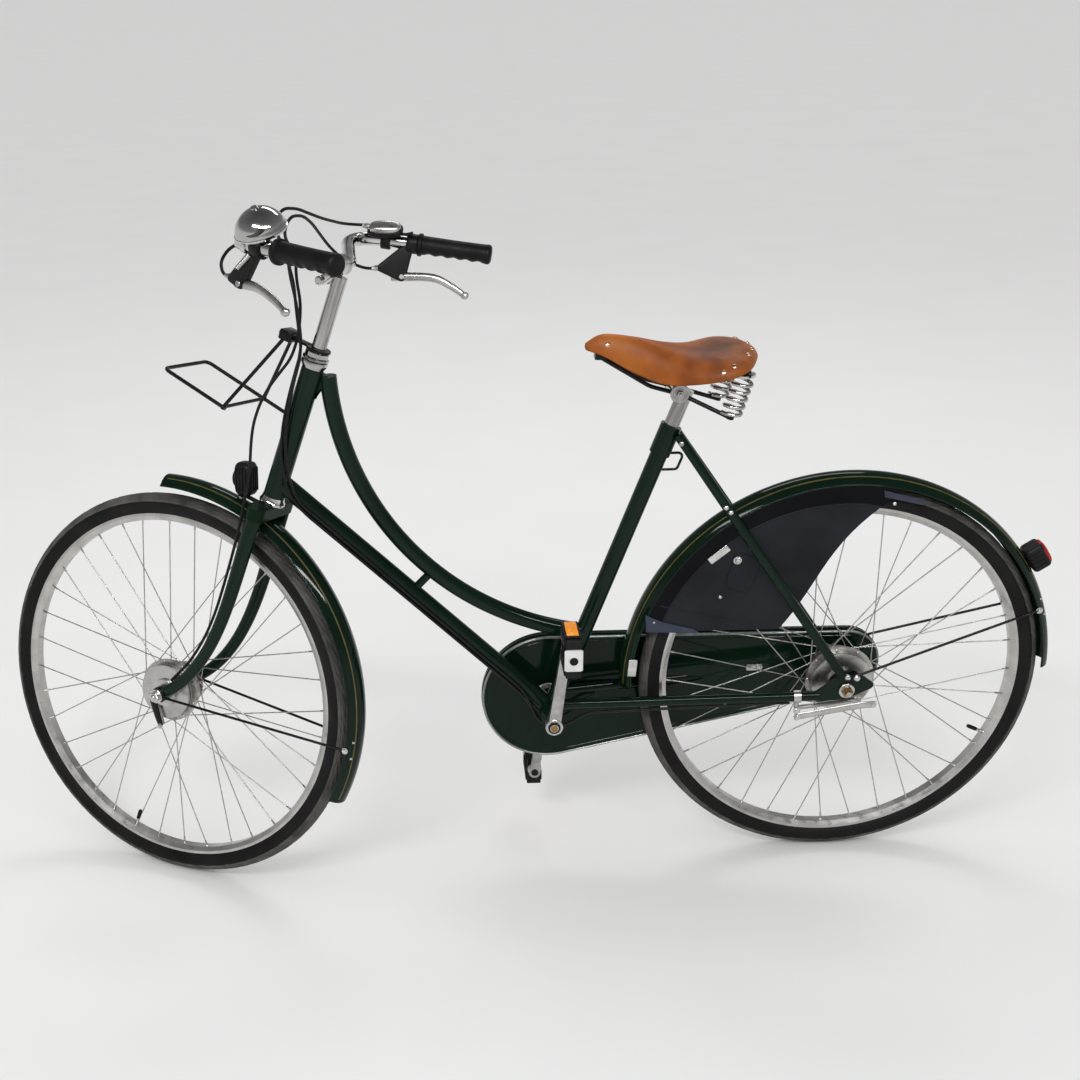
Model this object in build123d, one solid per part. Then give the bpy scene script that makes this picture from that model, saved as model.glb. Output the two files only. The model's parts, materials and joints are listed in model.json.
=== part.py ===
import math
import os

from build123d import *

# City bicycle with a step-through loop frame, millimetres.
# Shop frame: X forward from the rear axle, Y left, Z up from the ground.
# Every piece is shifted at the end so that the origin is the rider's seat point on the saddle.

# Wheels: the rim is worked out from the tyre, the tyre from its tread radius
tyre_radius = 348
tyre_section = 18.5
tyre_height = 31
rim_half_width = 12.5
rim_wall = 1.8
rim_flank = 8
rim_floor_depth = 9.5
rim_depth = 15.5
rim_crown_half = 8
spoke_count = 36
spoke_radius = 1.0
spoke_turn = 60
spoke_hold = 3
spoke_cross = 1.2
nipple_side = 2.4
nipple_lead = 1.4
wheelbase = 1174
seat_clear = 0.2

# Hub flanges: y place, radius to the spoke holes
front_flanges = ((20, 52), (-27, 33))
rear_flanges = ((20, 56), (-27, 38))
flange_half = 1.8
flange_rim = 4
hub_core = 19
drum_edge = 29
plate_gap = 1.0
plate_sheet = 6
cone_radius = 8
cone_gap = 4

# Axle ends: washer, nut and the bare thread outside them
washer_radius = 13
washer_sheet = 4
axle_nut_radius = 9
axle_nut_end = 10
axle_thread = 9
spacer_radius = 11
front_nut_height = 6

# Brake arms: the rear one runs from the plate to a band on the chain stay
arm_drop = 36
arm_rear = -36
arm_front = 82
arm_radius = 4
band_wall = 2.5
stay_band_half = 6
# Front brake lever from the axle: ahead, out from the plate, up
front_lever_points = ((22, 0, -12), (8, 2, -60))
front_lever_radius = 5

# Steering geometry, degrees and millimetres along the steering axis
head_angle = 70.0
fork_rake = 74.0
steer_rest = -27.4
crown_over_tyre = 64
head_length = 228
head_low = tyre_radius + crown_over_tyre
head_high = head_low + head_length
cup_height = 12
cup_radius = 20.5
bearing_gap = 1.0

# Frame tubes: radii
head_radius = 18.0
head_bore = 15.6
down_radius = 16.0
loop_radius = 14.0
seat_tube_radius = 14.5
post_radius = 12.7
shell_radius = 20.5
shell_half = 34
chain_stay_radius = 9.0
seat_stay_radius = 8.0
bridge_radius = 7.0

# Frame tubes: places
bracket_clear = 155
bracket_ahead = tyre_radius + bracket_clear
bracket_drop = 51
seat_angle = 69.4
seat_length = 545
down_top_rise = 28
loop_top_drop = 6.5
loop_top_behind = 26.4
loop_foot = 158
loop_sag = 112
bridge_at = 333
chain_stay_front = (-16, 27, 20)
chain_stay_rear = (45, 61, -12)
seat_stay_top = (-10, 16, -10)
seat_stay_rear = (8, 64, 26)
seat_stay_knee = (0.2, 43)
seat_stay_bend = 60
dropout_y = (61, 66)
# Dropout outline from the axle: ahead, up, radius
dropout_lobes = ((45, -11, 11), (0, 0, 17), (-6, 27, 11), (-38, 8, 8))
eyelet = (-9, 26)

# Saddle, from the top of the seat tube
saddle_from_tube = (-26, 141)
post_rise = 66
post_depth = 140
lug_below = 48
lug_above = 3
lug_wall = 3
leather = 5.0
leather_gap = 0.3
# Saddle sections from nose to cantle, from the seat point: ahead, half width, top, edge
saddle_sections = (
    (167, 8, 1, -8),
    (139, 20, 15, -14),
    (89, 29, 10, -43),
    (45, 56, 1, -55),
    (0, 92, 0, -45),
    (-45, 105, 8, -33),
    (-79, 84, 3, -26),
    (-99, 30, -9, -18),
)
saddle_shoulder = 0.55
rail_radius = 3.5
# Saddle rail from the seat point: nose, dip, clamp and spring foot
rail_points = ((144, 8, -21), (66, 20, -67), (14, 22, -82), (-59, 54, -113))
rail_bends = (60, 60)
clamp_from_seat = (19, -78)
clamp_radius = 14.5
clamp_half = 30
spring_wire = 2.6
spring_coil = 15
spring_turns = 5
spring_height = 58
spring_lean = 0.3
# Peg behind the seat tube: distance below the tube's top, reach, wire
peg_below = (48, 78)
peg_reach = 26
peg_wire = 2.2

# Chain case outline: front disc round the bracket, rear disc behind the hub
case_front_radius = 119
case_front_rise = 2
case_rear_radius = 60
case_rear = (-24, 4)
case_span = (-58, -36)
case_wall = 1.6
case_port = 30
case_rib = 3
case_rib_out = 1.5
case_chain_stay_gap = 2
case_seat_stay_gap = 3

# Mudguards: the sheet's crown stands off the tread by the gap
guard_gap = 27
guard_section = 29
guard_sheet = 1.5
guard_spread = 64
guard_bead = 2.0
front_guard_shift = (0, 7)
rear_guard_shift = (8, -1)
front_guard_angles = (90.5, 206.5)
rear_guard_angles = (-1, 178)
front_stay_angle = 190
rear_stay_angle = 160
stay_rod = 2.3
stay_hold = 3.5

# Coat guards on the rear mudguard's edges
coat_sheet = 1.6
coat_corner = (115, 102)
coat_angles = (17, 104)
lamp_angle = 147
rear_lamp_size = (32, 36, 46)
rear_lamp_round = 7
rear_lamp_out = 16

# Cranks and pedals
crank_length = 172
crank_lean = 7.5
crank_plane = 69
crank_half = 6
crank_boss = 15
crank_eye = 11
crank_taper = 0.7
crank_boss_out = 1
spindle_out = 3
spindle_shaft = 8.0
spindle_radius = 4.5
pedal_span = (83, 160)
pedal_length = 66
pedal_height = 27
pedal_plate = 4
pedal_core = 9
block_height = 21
block_rise = 22
block_round = 4
pedal_plate_inset = 2

# Fork
blade_top_y = 44
blade_low_y = 51
blade_bend = 300
# Blade half widths along and across: crown, bend, tip
blade_sections = ((14.5, 10.5), (11.5, 9.0), (9.5, 7.0))
crown_height = 21
crown_end_radius = 16
fork_end_half = 3
fork_end_radius = 14
axle_radius = 5.0
running_gap = 0.05
steerer_radius = 14.0
nut_radius = 20
nut_height = 14

# Stem and handlebar: the bar's points are offsets from its clamp
stem_radius = 12
bar_rise = 161
bar_ahead = 6
stem_short = 12
barrel_radius = 17
barrel_half = 20
bar_radius = 11.1
bar_inner = (4, 42, 5)
bar_outer = (89, 192, 46)
bar_tip = (-137, 265, 16)
bar_bends = (60, 50)
grip_radius = 15.5
grip_length = 118
grip_cap = 6
# Brake levers: side, distance up the bar, then cable nose, pivot, finger bend and tip from the band
lever_rows = (
    (1, 155, (54, -12, -44), (37, -8, -51), (5, 2, -56), (-54, 26, -86)),
    (-1, 127, (46, -30, -39), (16, -12, -53), (-38, -4, -54), (-90, 12, -82)),
)
band_half = 8
band_radius = 15.5
nose_radius = 6
blade_thick = (7, 12)
blade_bend_radius = 60
bell_at = 181
bell_back = 18
bell_inset = 6
bell_rise = 21
bell_lean = (0.1, 0.1, 1)
bell_band_radius = 13.5
bell_radius = 29
bell_dome = 26
bell_post = 8
shifter_at = 172
shifter_size = (60, 27, 21)
shifter_rise = 24
shifter_round = 7
shifter_post = 10
shifter_band_radius = 14.5

# Front lamp and carrier, along and ahead of the steering axis
lamp_rise = 18
lamp_ahead = 58
lamp_size = (42, 42, 57)
lamp_round = 13
lamp_post = 5
lamp_arm = 3.5
carrier_half = 63
carrier_front = (-118, 223)
carrier_back = (-133, 101)
carrier_tail = (-139, 56)
carrier_wire = 3.2
carrier_thin = 0.4
carrier_bend = 9
carrier_overlap = 5
strap_sheet = 4
strap_half = 9
block_span = (40, 70)
block_half = 24
block_along = (-6, 13)
upright_y = 18

# Cables, with hand-chosen points.
# Over: ahead, left and up from the bar's clamp. Head: up from the head tube's top, ahead and left.
# Down tube: from the bracket, above the tube's axis, left. Bracket: ahead, left and up from it.
cable_radius = 2.5
cable_clear = 0.5
left_cable_over = ((84, 200, -4), (100, 182, 12), (100, 160, 30), (92, 128, 42), (80, 95, 44), (70, 66, 34),
                   (66, 44, 10))
left_cable_down = ((115, 57, 31), (88, 47, 27.5), (55, 32.5, 24.5), (28, 21, 20), (5, 17, 18.5))
right_cable_over = ((46, -176, -8), (70, -146, 6), (78, -114, 26), (76, -76, 48), (68, -36, 66), (64, 2, 78),
                    (68, 34, 76), (74, 44, 48))
right_cable_down = ((160, 66, 36), (125, 62, 22), (88, 48, 10), (55, 38, 11), (28, 33.5, 13.5), (0, 35, 14),
                    (-28, 46, 15), (-60, 58, 16), (-95, 65, 16), (-130, 64.5, 17), (-162, 56, 20),
                    (-190, 45, 25), (-220, 36, 32), (-250, 29, 39))
front_brake_down = ((352, 22, 44.5), (300, 18.5, 47), (250, 17, 48.5), (200, 16.5, 50), (155, 20, 51),
                    (115, 28, 51.5), (80, 39.5, 50), (52, 54, 46), (30, 66, 40))
gear_cable_over = ((72, -197, 62), (82, -162, 64), (78, -124, 68), (74, -84, 72), (72, -42, 79), (74, 0, 88),
                   (80, 36, 88), (86, 54, 62))
gear_cable_down = ((160, 77, 45), (125, 68, 31), (88, 51, 19), (55, 34, 17.5), (28, 25, 12.5), (5, 22, 12))
rear_cable_head = ((-30, 22.5, 12), (-70, 19, 16.5), (-110, 12, 21.5), (-150, 1, 24), (-185, -15, 23.5))
rear_cable_down = ((585, -2, 19), (70, -2, 19))
rear_cable_bracket = ((37, 19, 19), (25, 19, -13), (0, 20, -30), (-29, 24, -21), (-60, 30.5, 4))
rear_cable_stop = 12
hub_cable_head = ((-30, 24.6, 4), (-70, 23, 9), (-110, 18.5, 15.5), (-150, 9, 22), (-178, -4, 25),
                  (-204, -17, 23.5))
hub_cable_down = ((570, -10, 16.2), (60, -10, 16.2))
hub_cable_bracket = ((34, 10, 6), (19, 0, -24), (-6, -8, -31), (-33, -16, -22), (-59, -24, 0), (-83, -29, 7))


def vec(point):
    return Vector(*point)


def rod(start, end, radius):
    run = vec(end) - vec(start)
    base = Plane(origin=tuple(vec(start)), z_dir=run)
    return base * Cylinder(radius, run.length, align=(Align.CENTER, Align.CENTER, Align.MIN))


def across(x, z, y_from, y_to, radius):
    return rod((x, y_from, z), (x, y_to, z), radius)


def route(points, radii):
    corners = [vec(point) for point in points]
    edges = []
    start = corners[0]
    for corner, before, after, radius in zip(corners[1:-1], corners[:-2], corners[2:], radii):
        back = (before - corner).normalized()
        ahead = (after - corner).normalized()
        half = math.radians(back.get_angle(ahead)) / 2
        reach = radius / math.tan(half)
        inward = (back + ahead).normalized()
        first = corner + back * reach
        last = corner + ahead * reach
        middle = corner + inward * (radius / math.sin(half) - radius)
        edges += [Line(start, first), ThreePointArc(first, middle, last)]
        start = last
    edges.append(Line(start, corners[-1]))
    return Wire(edges)


def pipe(points, radii, radius):
    path = route(points, radii)
    base = Plane(origin=tuple(vec(points[0])), z_dir=vec(points[1]) - vec(points[0]))
    return sweep(base * Circle(radius), path=path)


def cable(points):
    corners = [vec(point) for point in points]
    radii = []
    for before, corner, after in zip(corners[:-2], corners[1:-1], corners[2:]):
        run = min((corner - before).length, (after - corner).length)
        turn = math.radians((corner - before).get_angle(after - corner))
        radii.append(0.45 * run / math.tan(turn / 2))
    print("cable bends", [round(radius) for radius in radii])
    return pipe(points, radii, cable_radius)


def upright(y):
    return Plane(origin=(0, y, 0), x_dir=(1, 0, 0), z_dir=(0, -1, 0))


def hull_plate(lobes, y_from, y_to):
    discs = Sketch()
    for x, z, radius in lobes:
        discs += Pos(x, z) * Circle(radius)
    return extrude(upright(y_from) * make_hull(discs.edges()), y_from - y_to)


def mirrored(shape):
    return mirror(shape, Plane.XZ)


def both(shape):
    return [shape, mirrored(shape)]


# Steering axis: a foot level with the hub and a direction upwards
lean = math.radians(head_angle)
axis_up = Vector(-math.cos(lean), 0, math.sin(lean))
axis_ahead = Vector(math.sin(lean), 0, math.cos(lean))
front_axle_place = Vector(wheelbase, 0, tyre_radius)
axis_foot = front_axle_place - axis_ahead * fork_rake
rear_axle_place = Vector(0, 0, tyre_radius)


def on_axis(along, ahead=0.0, y=0.0):
    point = axis_foot + axis_up * along + axis_ahead * ahead
    return (point.X, y, point.Z)


def turned_on_axis(along, ahead, y):
    turn = math.radians(steer_rest)
    moved = ahead * math.cos(turn) - y * math.sin(turn)
    side = ahead * math.sin(turn) + y * math.cos(turn)
    return on_axis(along, moved, side)


def axis_rod(low, high, radius):
    return rod(on_axis(low), on_axis(high), radius)


def axis_plane(along):
    return Plane(origin=on_axis(along), x_dir=tuple(axis_ahead), z_dir=tuple(axis_up))


def turned(shape):
    return shape.rotate(Axis(tuple(axis_foot), tuple(axis_up)), steer_rest)


# Bracket, seat tube line and the rider's seat point
bracket = Vector(bracket_ahead, 0, tyre_radius - bracket_drop)
seat_lean = math.radians(seat_angle)
seat_line = Vector(-math.cos(seat_lean), 0, math.sin(seat_lean))
seat_top = bracket + seat_line * seat_length
seat_point = seat_top + Vector(saddle_from_tube[0], 0, saddle_from_tube[1])


def on_seat_line(distance):
    return tuple(seat_top + seat_line * distance)


def from_seat(x, y, z):
    return tuple(seat_point + Vector(x, y, z))


nodes = {}


def add(name, shapes, steering=False):
    pieces = shapes if isinstance(shapes, list) else [shapes]
    solids = [solid for piece in pieces for solid in piece.solids()]
    if steering:
        solids = [turned(solid) for solid in solids]
    shift = Pos(*(seat_point * -1))
    nodes[name] = Compound(children=[shift * solid for solid in solids])


# Wheels, built about their own axle and moved to it
rim_radius = tyre_radius - tyre_height
rim_floor = rim_radius - rim_floor_depth
rim_inside = rim_radius - rim_depth
tyre_centre = tyre_radius - tyre_section


def ring(points, place):
    face = make_face(Polyline(*points, close=True))
    return Pos(*place) * revolve(face, axis=Axis.Y)


def wheel_rim(place):
    outer = rim_half_width
    inner = rim_half_width - rim_wall
    points = (
        (rim_radius, -outer),
        (rim_radius - rim_flank, -outer),
        (rim_inside, -rim_crown_half),
        (rim_inside, rim_crown_half),
        (rim_radius - rim_flank, outer),
        (rim_radius, outer),
        (rim_radius, inner),
        (rim_floor, inner),
        (rim_floor, -inner),
        (rim_radius, -inner),
    )
    return ring(points, place)


def wheel_tyre(place):
    inner = rim_half_width - rim_wall
    seat = Pos((rim_floor + tyre_centre) / 2, 0) * Rectangle(tyre_centre - rim_floor, 2 * inner)
    body = Pos(tyre_centre, 0) * Circle(tyre_section)
    above = Pos(rim_radius + seat_clear + tyre_height, 0) * Rectangle(2 * tyre_height, 4 * tyre_section)
    return Pos(*place) * revolve((body & above) + seat, axis=Axis.Y)


def drum_radius(flanges):
    return flanges[0][1] - flange_half - spoke_radius


def wheel_hub(flanges, place):
    (left_y, left_r), (right_y, right_r) = flanges
    bore = axle_radius + running_gap
    drum = drum_radius(flanges)
    right_end = right_y - 2 * flange_half
    points = (
        (bore, right_end),
        (hub_core, right_end),
        (hub_core, right_y - flange_half),
        (right_r + flange_rim, right_y - flange_half),
        (right_r + flange_rim, right_y + flange_half),
        (hub_core, right_y + flange_half),
        (hub_core, -4 * flange_half),
        (drum, 0),
        (drum, left_y - flange_half),
        (left_r + flange_rim, left_y - flange_half),
        (left_r + flange_rim, left_y + flange_half),
        (drum, left_y + flange_half),
        (drum, drum_edge),
        (bore, drum_edge),
    )
    return ring(points, place)


def wheel_spokes(flanges, place):
    spokes = []
    per_side = spoke_count // 2
    step = 360 / per_side
    tip_radius = rim_inside + spoke_hold
    for side, (flange_y, flange_r) in zip((1, -1), flanges):
        for index in range(per_side):
            lead = 1 if index % 2 else -1
            hub_angle = math.radians(index * step + (0 if side > 0 else step / 2))
            rim_angle = hub_angle + math.radians(lead * spoke_turn)
            foot_y = flange_y + lead * spoke_cross
            rim_y = side * nipple_side + lead * nipple_lead
            foot = (flange_r * math.cos(hub_angle), foot_y, flange_r * math.sin(hub_angle))
            tip = (tip_radius * math.cos(rim_angle), rim_y, tip_radius * math.sin(rim_angle))
            spokes.append(Pos(*place) * rod(foot, tip, spoke_radius))
    return spokes


for wheel, place, flanges, steering in (
    ("front", front_axle_place, front_flanges, True),
    ("rear", rear_axle_place, rear_flanges, False),
):
    add(wheel + "_tyre", wheel_tyre(place), steering)
    add(wheel + "_rim", wheel_rim(place), steering)
    add(wheel + "_spokes", wheel_spokes(flanges, place), steering)
    add(wheel + "_hub", wheel_hub(flanges, place), steering)

# Main frame: tubes mitred on one another
head_solid = axis_rod(head_low, head_high, head_radius)
head_hole = axis_rod(head_low - 2 * cup_height, head_high + 2 * cup_height, head_bore)
shell_solid = across(bracket.X, bracket.Z, -shell_half, shell_half, shell_radius)
seat_solid = rod(bracket, seat_top, seat_tube_radius)
down_foot = on_axis(head_low + down_top_rise)
down_solid = rod(bracket, down_foot, down_radius)
down_line = (vec(down_foot) - bracket).normalized()
down_normal = Vector(-down_line.Z, 0, down_line.X)

loop_start = vec(on_axis(head_high - loop_top_drop, -loop_top_behind))
loop_end = bracket + seat_line * loop_foot
loop_half = (loop_start - loop_end) * 0.5
loop_normal = Vector(loop_half.Z, 0, -loop_half.X).normalized()
loop_middle = loop_end + loop_half + loop_normal * loop_sag
loop_bend = (loop_half.length**2 + loop_sag**2) / (2 * loop_sag)
loop_centre = loop_middle - loop_normal * loop_bend
loop_path = Wire([ThreePointArc(loop_start, loop_middle, loop_end)])
loop_solid = sweep(Plane(origin=tuple(loop_start), z_dir=loop_path % 0) * Circle(loop_radius), path=loop_path)

bridge_foot = bracket + down_line * bridge_at
bridge_offset = bridge_foot - loop_centre
bridge_along = bridge_offset.dot(down_normal)
bridge_reach = -bridge_along - math.sqrt(bridge_along**2 - bridge_offset.dot(bridge_offset) + loop_bend**2)
bridge_solid = rod(bridge_foot, bridge_foot + down_normal * bridge_reach, bridge_radius)

post_hole = rod(on_seat_line(-post_depth - 10), on_seat_line(10), post_radius)
spindle_hole = across(bracket.X, bracket.Z, -2 * shell_half, 2 * shell_half, spindle_shaft + running_gap)
peg_points = (
    on_seat_line(-peg_below[0]),
    tuple(vec(on_seat_line(-peg_below[0])) - Vector(seat_tube_radius + peg_reach, 0, 0)),
    tuple(vec(on_seat_line(-peg_below[1])) - Vector(seat_tube_radius + peg_reach, 0, 0)),
    on_seat_line(-peg_below[1]),
)
peg = pipe(peg_points, (peg_wire * 3, peg_wire * 3), peg_wire)

add("head_tube", head_solid - head_hole)
cups = []
for low in (head_low - cup_height, head_high):
    cups.append(axis_rod(low, low + cup_height, cup_radius) - head_hole)
add("headset_cups", cups)
add("bottom_bracket", shell_solid - spindle_hole)
low_cup_room = axis_rod(head_low - cup_height, head_low, cup_radius)
add("down_tube", down_solid - head_solid - low_cup_room - shell_solid - seat_solid)
add("loop_tube", loop_solid - head_solid - seat_solid)
add("tube_bridge", bridge_solid - down_solid - loop_solid)

lug = rod(on_seat_line(-lug_below), on_seat_line(lug_above), seat_tube_radius + lug_wall)
add("seat_tube", seat_solid + (peg - lug) - shell_solid - post_hole)
add("seat_lug", lug - seat_solid - post_hole - peg)

stay_front = tuple(bracket + vec(chain_stay_front))
stay_rear = tuple(rear_axle_place + vec(chain_stay_rear))
left_chain_stay = rod(stay_front, stay_rear, chain_stay_radius) - shell_solid
knee_share, knee_y = seat_stay_knee
seat_stay_start = seat_top + vec(seat_stay_top)
seat_stay_end = rear_axle_place + vec(seat_stay_rear)
knee = seat_stay_start + (seat_stay_end - seat_stay_start) * knee_share
seat_stay_points = (tuple(seat_stay_start), (knee.X, knee_y, knee.Z), tuple(seat_stay_end))
left_seat_stay = pipe(seat_stay_points, (seat_stay_bend,), seat_stay_radius) - lug - seat_solid


def dropout():
    lobes = [(x, tyre_radius + z, radius) for x, z, radius in dropout_lobes]
    plate = hull_plate(lobes, *dropout_y)
    return plate - across(0, tyre_radius, 0, 2 * dropout_y[1], axle_radius)


left_dropout = dropout()
add("chain_stays", both(left_chain_stay - left_dropout))
add("seat_stays", both(left_seat_stay - left_dropout - left_chain_stay))
add("dropouts", both(left_dropout))


# Saddle on its post


def saddle_section(x, half, top, edge, shrink, drop):
    wide = half - shrink
    high = top - shrink
    low = edge - drop
    shoulder = edge + saddle_shoulder * (top - edge) - shrink / 2
    outline = Polyline((-wide, shoulder), (-wide, low), (wide, low), (wide, shoulder))
    crown = ThreePointArc((wide, shoulder), (0, high), (-wide, shoulder))
    plane = Plane(origin=from_seat(x, 0, 0), x_dir=(0, 1, 0), z_dir=(1, 0, 0))
    return plane * make_face(outline + crown)


def saddle_loft(shrink, drop):
    nose_x = saddle_sections[0][0] - shrink
    rear_x = saddle_sections[-1][0] + shrink
    sections = []
    for x, half, top, edge in saddle_sections:
        held = min(max(x, rear_x), nose_x)
        sections.append(saddle_section(held, half, top, edge, shrink, drop))
    return loft(sections)


add("saddle_leather", saddle_loft(0, 0) - saddle_loft(leather, 4 * leather))

rails = both(pipe([from_seat(*point) for point in rail_points], rail_bends, rail_radius))
nose_x, nose_y, nose_z = rail_points[0]
inside_leather = saddle_loft(leather + leather_gap, 4 * leather)
nose_plate = Pos(*from_seat(nose_x, 0, nose_z - rail_radius)) * Box(
    5 * rail_radius, 3 * nose_y, 15 * rail_radius, align=(Align.CENTER, Align.CENTER, Align.MIN))
nose_plate &= inside_leather
spring_x, spring_y, spring_z = rail_points[-1]
spring_base = spring_z + rail_radius + spring_wire
spring_top = spring_base + spring_height
top_x = spring_x - spring_lean * spring_height
cantle_x = saddle_sections[-2][0] - leather
cantle = Pos(*from_seat(cantle_x, 0, spring_top + leather)) * Box(
    2 * leather, 4 * spring_y, 15 * leather, align=(Align.CENTER, Align.CENTER, Align.MIN))
cantle &= inside_leather
for side in (1, -1):
    plate = Pos(*from_seat(top_x, side * spring_y, spring_top + leather)) * Cylinder(
        spring_coil + spring_wire, leather, align=(Align.CENTER, Align.CENTER, Align.MIN))
    cantle += plate
add("saddle_rails", rails[0] + rails[1] + nose_plate)
add("saddle_cantle", cantle)

springs = []
for side in (1, -1):
    foot = Plane(origin=from_seat(spring_x, side * spring_y, spring_base), z_dir=(-spring_lean, 0, 1))
    coil = Helix(pitch=spring_height / spring_turns, height=spring_height, radius=spring_coil)
    section = Plane(origin=coil @ 0, z_dir=coil % 0) * Circle(spring_wire)
    springs.append(foot * sweep(section, path=Wire([coil]), is_frenet=True))
add("saddle_springs", springs)

post = rod(on_seat_line(-post_depth), on_seat_line(post_rise), post_radius - running_gap)
add("seat_post", post)
clamp_x, _, clamp_z = from_seat(clamp_from_seat[0], 0, clamp_from_seat[1])
clamp = across(clamp_x, clamp_z, -clamp_half, clamp_half, clamp_radius)
add("saddle_clamp", clamp - post - rails[0] - rails[1])

# Chain case: a flat hollow box round the chain


def case_lobes(grow):
    return (
        (bracket.X, bracket.Z + case_front_rise, case_front_radius + grow),
        (case_rear[0], tyre_radius + case_rear[1], case_rear_radius + grow),
    )


case_outside, case_inside = case_span
case = hull_plate(case_lobes(0), case_inside, case_outside)
case += hull_plate(case_lobes(case_rib_out), (case_inside + case_outside + case_rib) / 2,
                   (case_inside + case_outside - case_rib) / 2)
case -= hull_plate(case_lobes(-case_wall), case_inside - case_wall, case_outside + case_wall)
case -= across(bracket.X, bracket.Z, -2 * shell_half, -shell_half / 2, case_port)
case -= across(0, tyre_radius, -2 * shell_half, -shell_half / 2, case_port)
case -= mirrored(rod(stay_front, stay_rear, chain_stay_radius + case_chain_stay_gap))
case -= mirrored(pipe(seat_stay_points, (seat_stay_bend,), seat_stay_radius + case_seat_stay_gap))
add("chain_case", case)

# Mudguards and their stays
guard_radius = tyre_radius + guard_gap
guard_centre = guard_radius - guard_section
guard_half_angle = math.radians(guard_spread)
guard_edge_radius = guard_centre + guard_section * math.cos(guard_half_angle)
guard_edge_y = guard_section * math.sin(guard_half_angle)
front_guard_place = front_axle_place + Vector(front_guard_shift[0], 0, front_guard_shift[1])
rear_guard_place = rear_axle_place + Vector(rear_guard_shift[0], 0, rear_guard_shift[1])


def guard(place, angles):
    crown = Pos(guard_centre, 0) * (Circle(guard_section) - Circle(guard_section - guard_sheet))
    reach = 2 * guard_section
    tip = (guard_centre + reach * math.cos(guard_half_angle), reach * math.sin(guard_half_angle))
    wedge = make_face(Polyline((guard_centre, 0), tip, (guard_centre + 2 * reach, tip[1]),
                               (guard_centre + 2 * reach, -tip[1]), (tip[0], -tip[1]), close=True))
    profile = crown & wedge
    for side in (1, -1):
        profile += Pos(guard_edge_radius, side * (guard_edge_y - guard_sheet / 2)) * Circle(guard_bead)
    arc = revolve(profile, axis=Axis.Y, revolution_arc=angles[1] - angles[0])
    return Pos(*place) * Rot(0, -angles[1], 0) * arc


def guard_spot(place, angle, radius, y):
    turn = math.radians(angle)
    return (place.X + radius * math.cos(turn), y, place.Z + radius * math.sin(turn))


add("front_mudguard", guard(front_guard_place, front_guard_angles), True)
add("rear_mudguard", guard(rear_guard_place, rear_guard_angles))

eyelet_x = eyelet[0]
eyelet_z = tyre_radius + eyelet[1]
stay_y = dropout_y[1] + stay_hold
rear_stays = []
front_stays = []
front_axle_cut = across(wheelbase, tyre_radius, -2 * blade_low_y, 2 * blade_low_y, axle_radius)
front_nut_y = blade_low_y + fork_end_half + stay_hold
for side in (1, -1):
    high_y = side * (guard_edge_y + stay_rod / 2)
    rear_low = (eyelet_x, side * stay_y, eyelet_z)
    rear_high = guard_spot(rear_guard_place, rear_stay_angle, guard_edge_radius, high_y)
    rear_eye = across(eyelet_x, eyelet_z, side * dropout_y[1], side * (stay_y + stay_hold), 3 * stay_rod)
    rear_stays.append(rod(rear_low, rear_high, stay_rod) + rear_eye)
    front_low = (wheelbase, side * (front_nut_y + stay_hold), tyre_radius)
    front_high = guard_spot(front_guard_place, front_stay_angle, guard_edge_radius, high_y)
    eye_end = side * (front_nut_y + 2 * stay_hold)
    front_eye = across(wheelbase, tyre_radius, side * front_nut_y, eye_end, axle_nut_radius)
    front_rod = rod(front_low, front_high, stay_rod) + front_eye
    front_stays.append(front_rod - front_axle_cut)
add("rear_mudguard_stays", rear_stays)

# Coat guards: a panel on each side of the rear wheel under the mudguard's edge
coat_y = guard_edge_y - guard_sheet / 2


def coat_guard():
    radius = guard_edge_radius
    spots = [guard_spot(rear_guard_place, angle, radius, 0)
             for angle in (coat_angles[0], sum(coat_angles) / 2, coat_angles[1])]
    first, middle, last = [(spot[0], spot[2]) for spot in spots]
    corner = (coat_corner[0], tyre_radius + coat_corner[1])
    outline = ThreePointArc(first, middle, last) + Polyline(last, corner, first)
    return extrude(upright(coat_y) * make_face(outline), -coat_sheet)


add("coat_guards", both(coat_guard()))
rear_lamp_place = guard_spot(rear_guard_place, lamp_angle, guard_radius + rear_lamp_out, 0)
rear_lamp = fillet(Box(*rear_lamp_size).edges(), rear_lamp_round)
add("rear_lamp", Pos(*rear_lamp_place) * Rot(0, -lamp_angle, 0) * rear_lamp)

# Rear axle, nuts and the brake plate held to the frame by its arm
nut_span = (dropout_y[1], dropout_y[1] + axle_nut_end)
rear_axle_half = nut_span[1] + axle_thread
rear_axle = across(0, tyre_radius, -rear_axle_half, rear_axle_half, axle_radius)
plate_y = drum_edge + plate_gap
for side in (1, -1):
    washer_end = side * (nut_span[0] + washer_sheet)
    rear_axle += across(0, tyre_radius, side * nut_span[0], washer_end, washer_radius)
    rear_axle += across(0, tyre_radius, washer_end, side * nut_span[1], axle_nut_radius)
    rear_axle += across(0, tyre_radius, side * (drum_edge + cone_gap), side * dropout_y[0], cone_radius)
add("rear_axle", rear_axle)


def brake_plate(place, flanges):
    radius = drum_radius(flanges) - 1
    plate = across(place.X, place.Z, plate_y, plate_y + plate_sheet, radius)
    plate += across(place.X, place.Z, plate_y + plate_sheet, plate_y + 2 * plate_sheet, radius / 2)
    return plate - across(place.X, place.Z, 0, 3 * plate_y, cone_radius)


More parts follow.
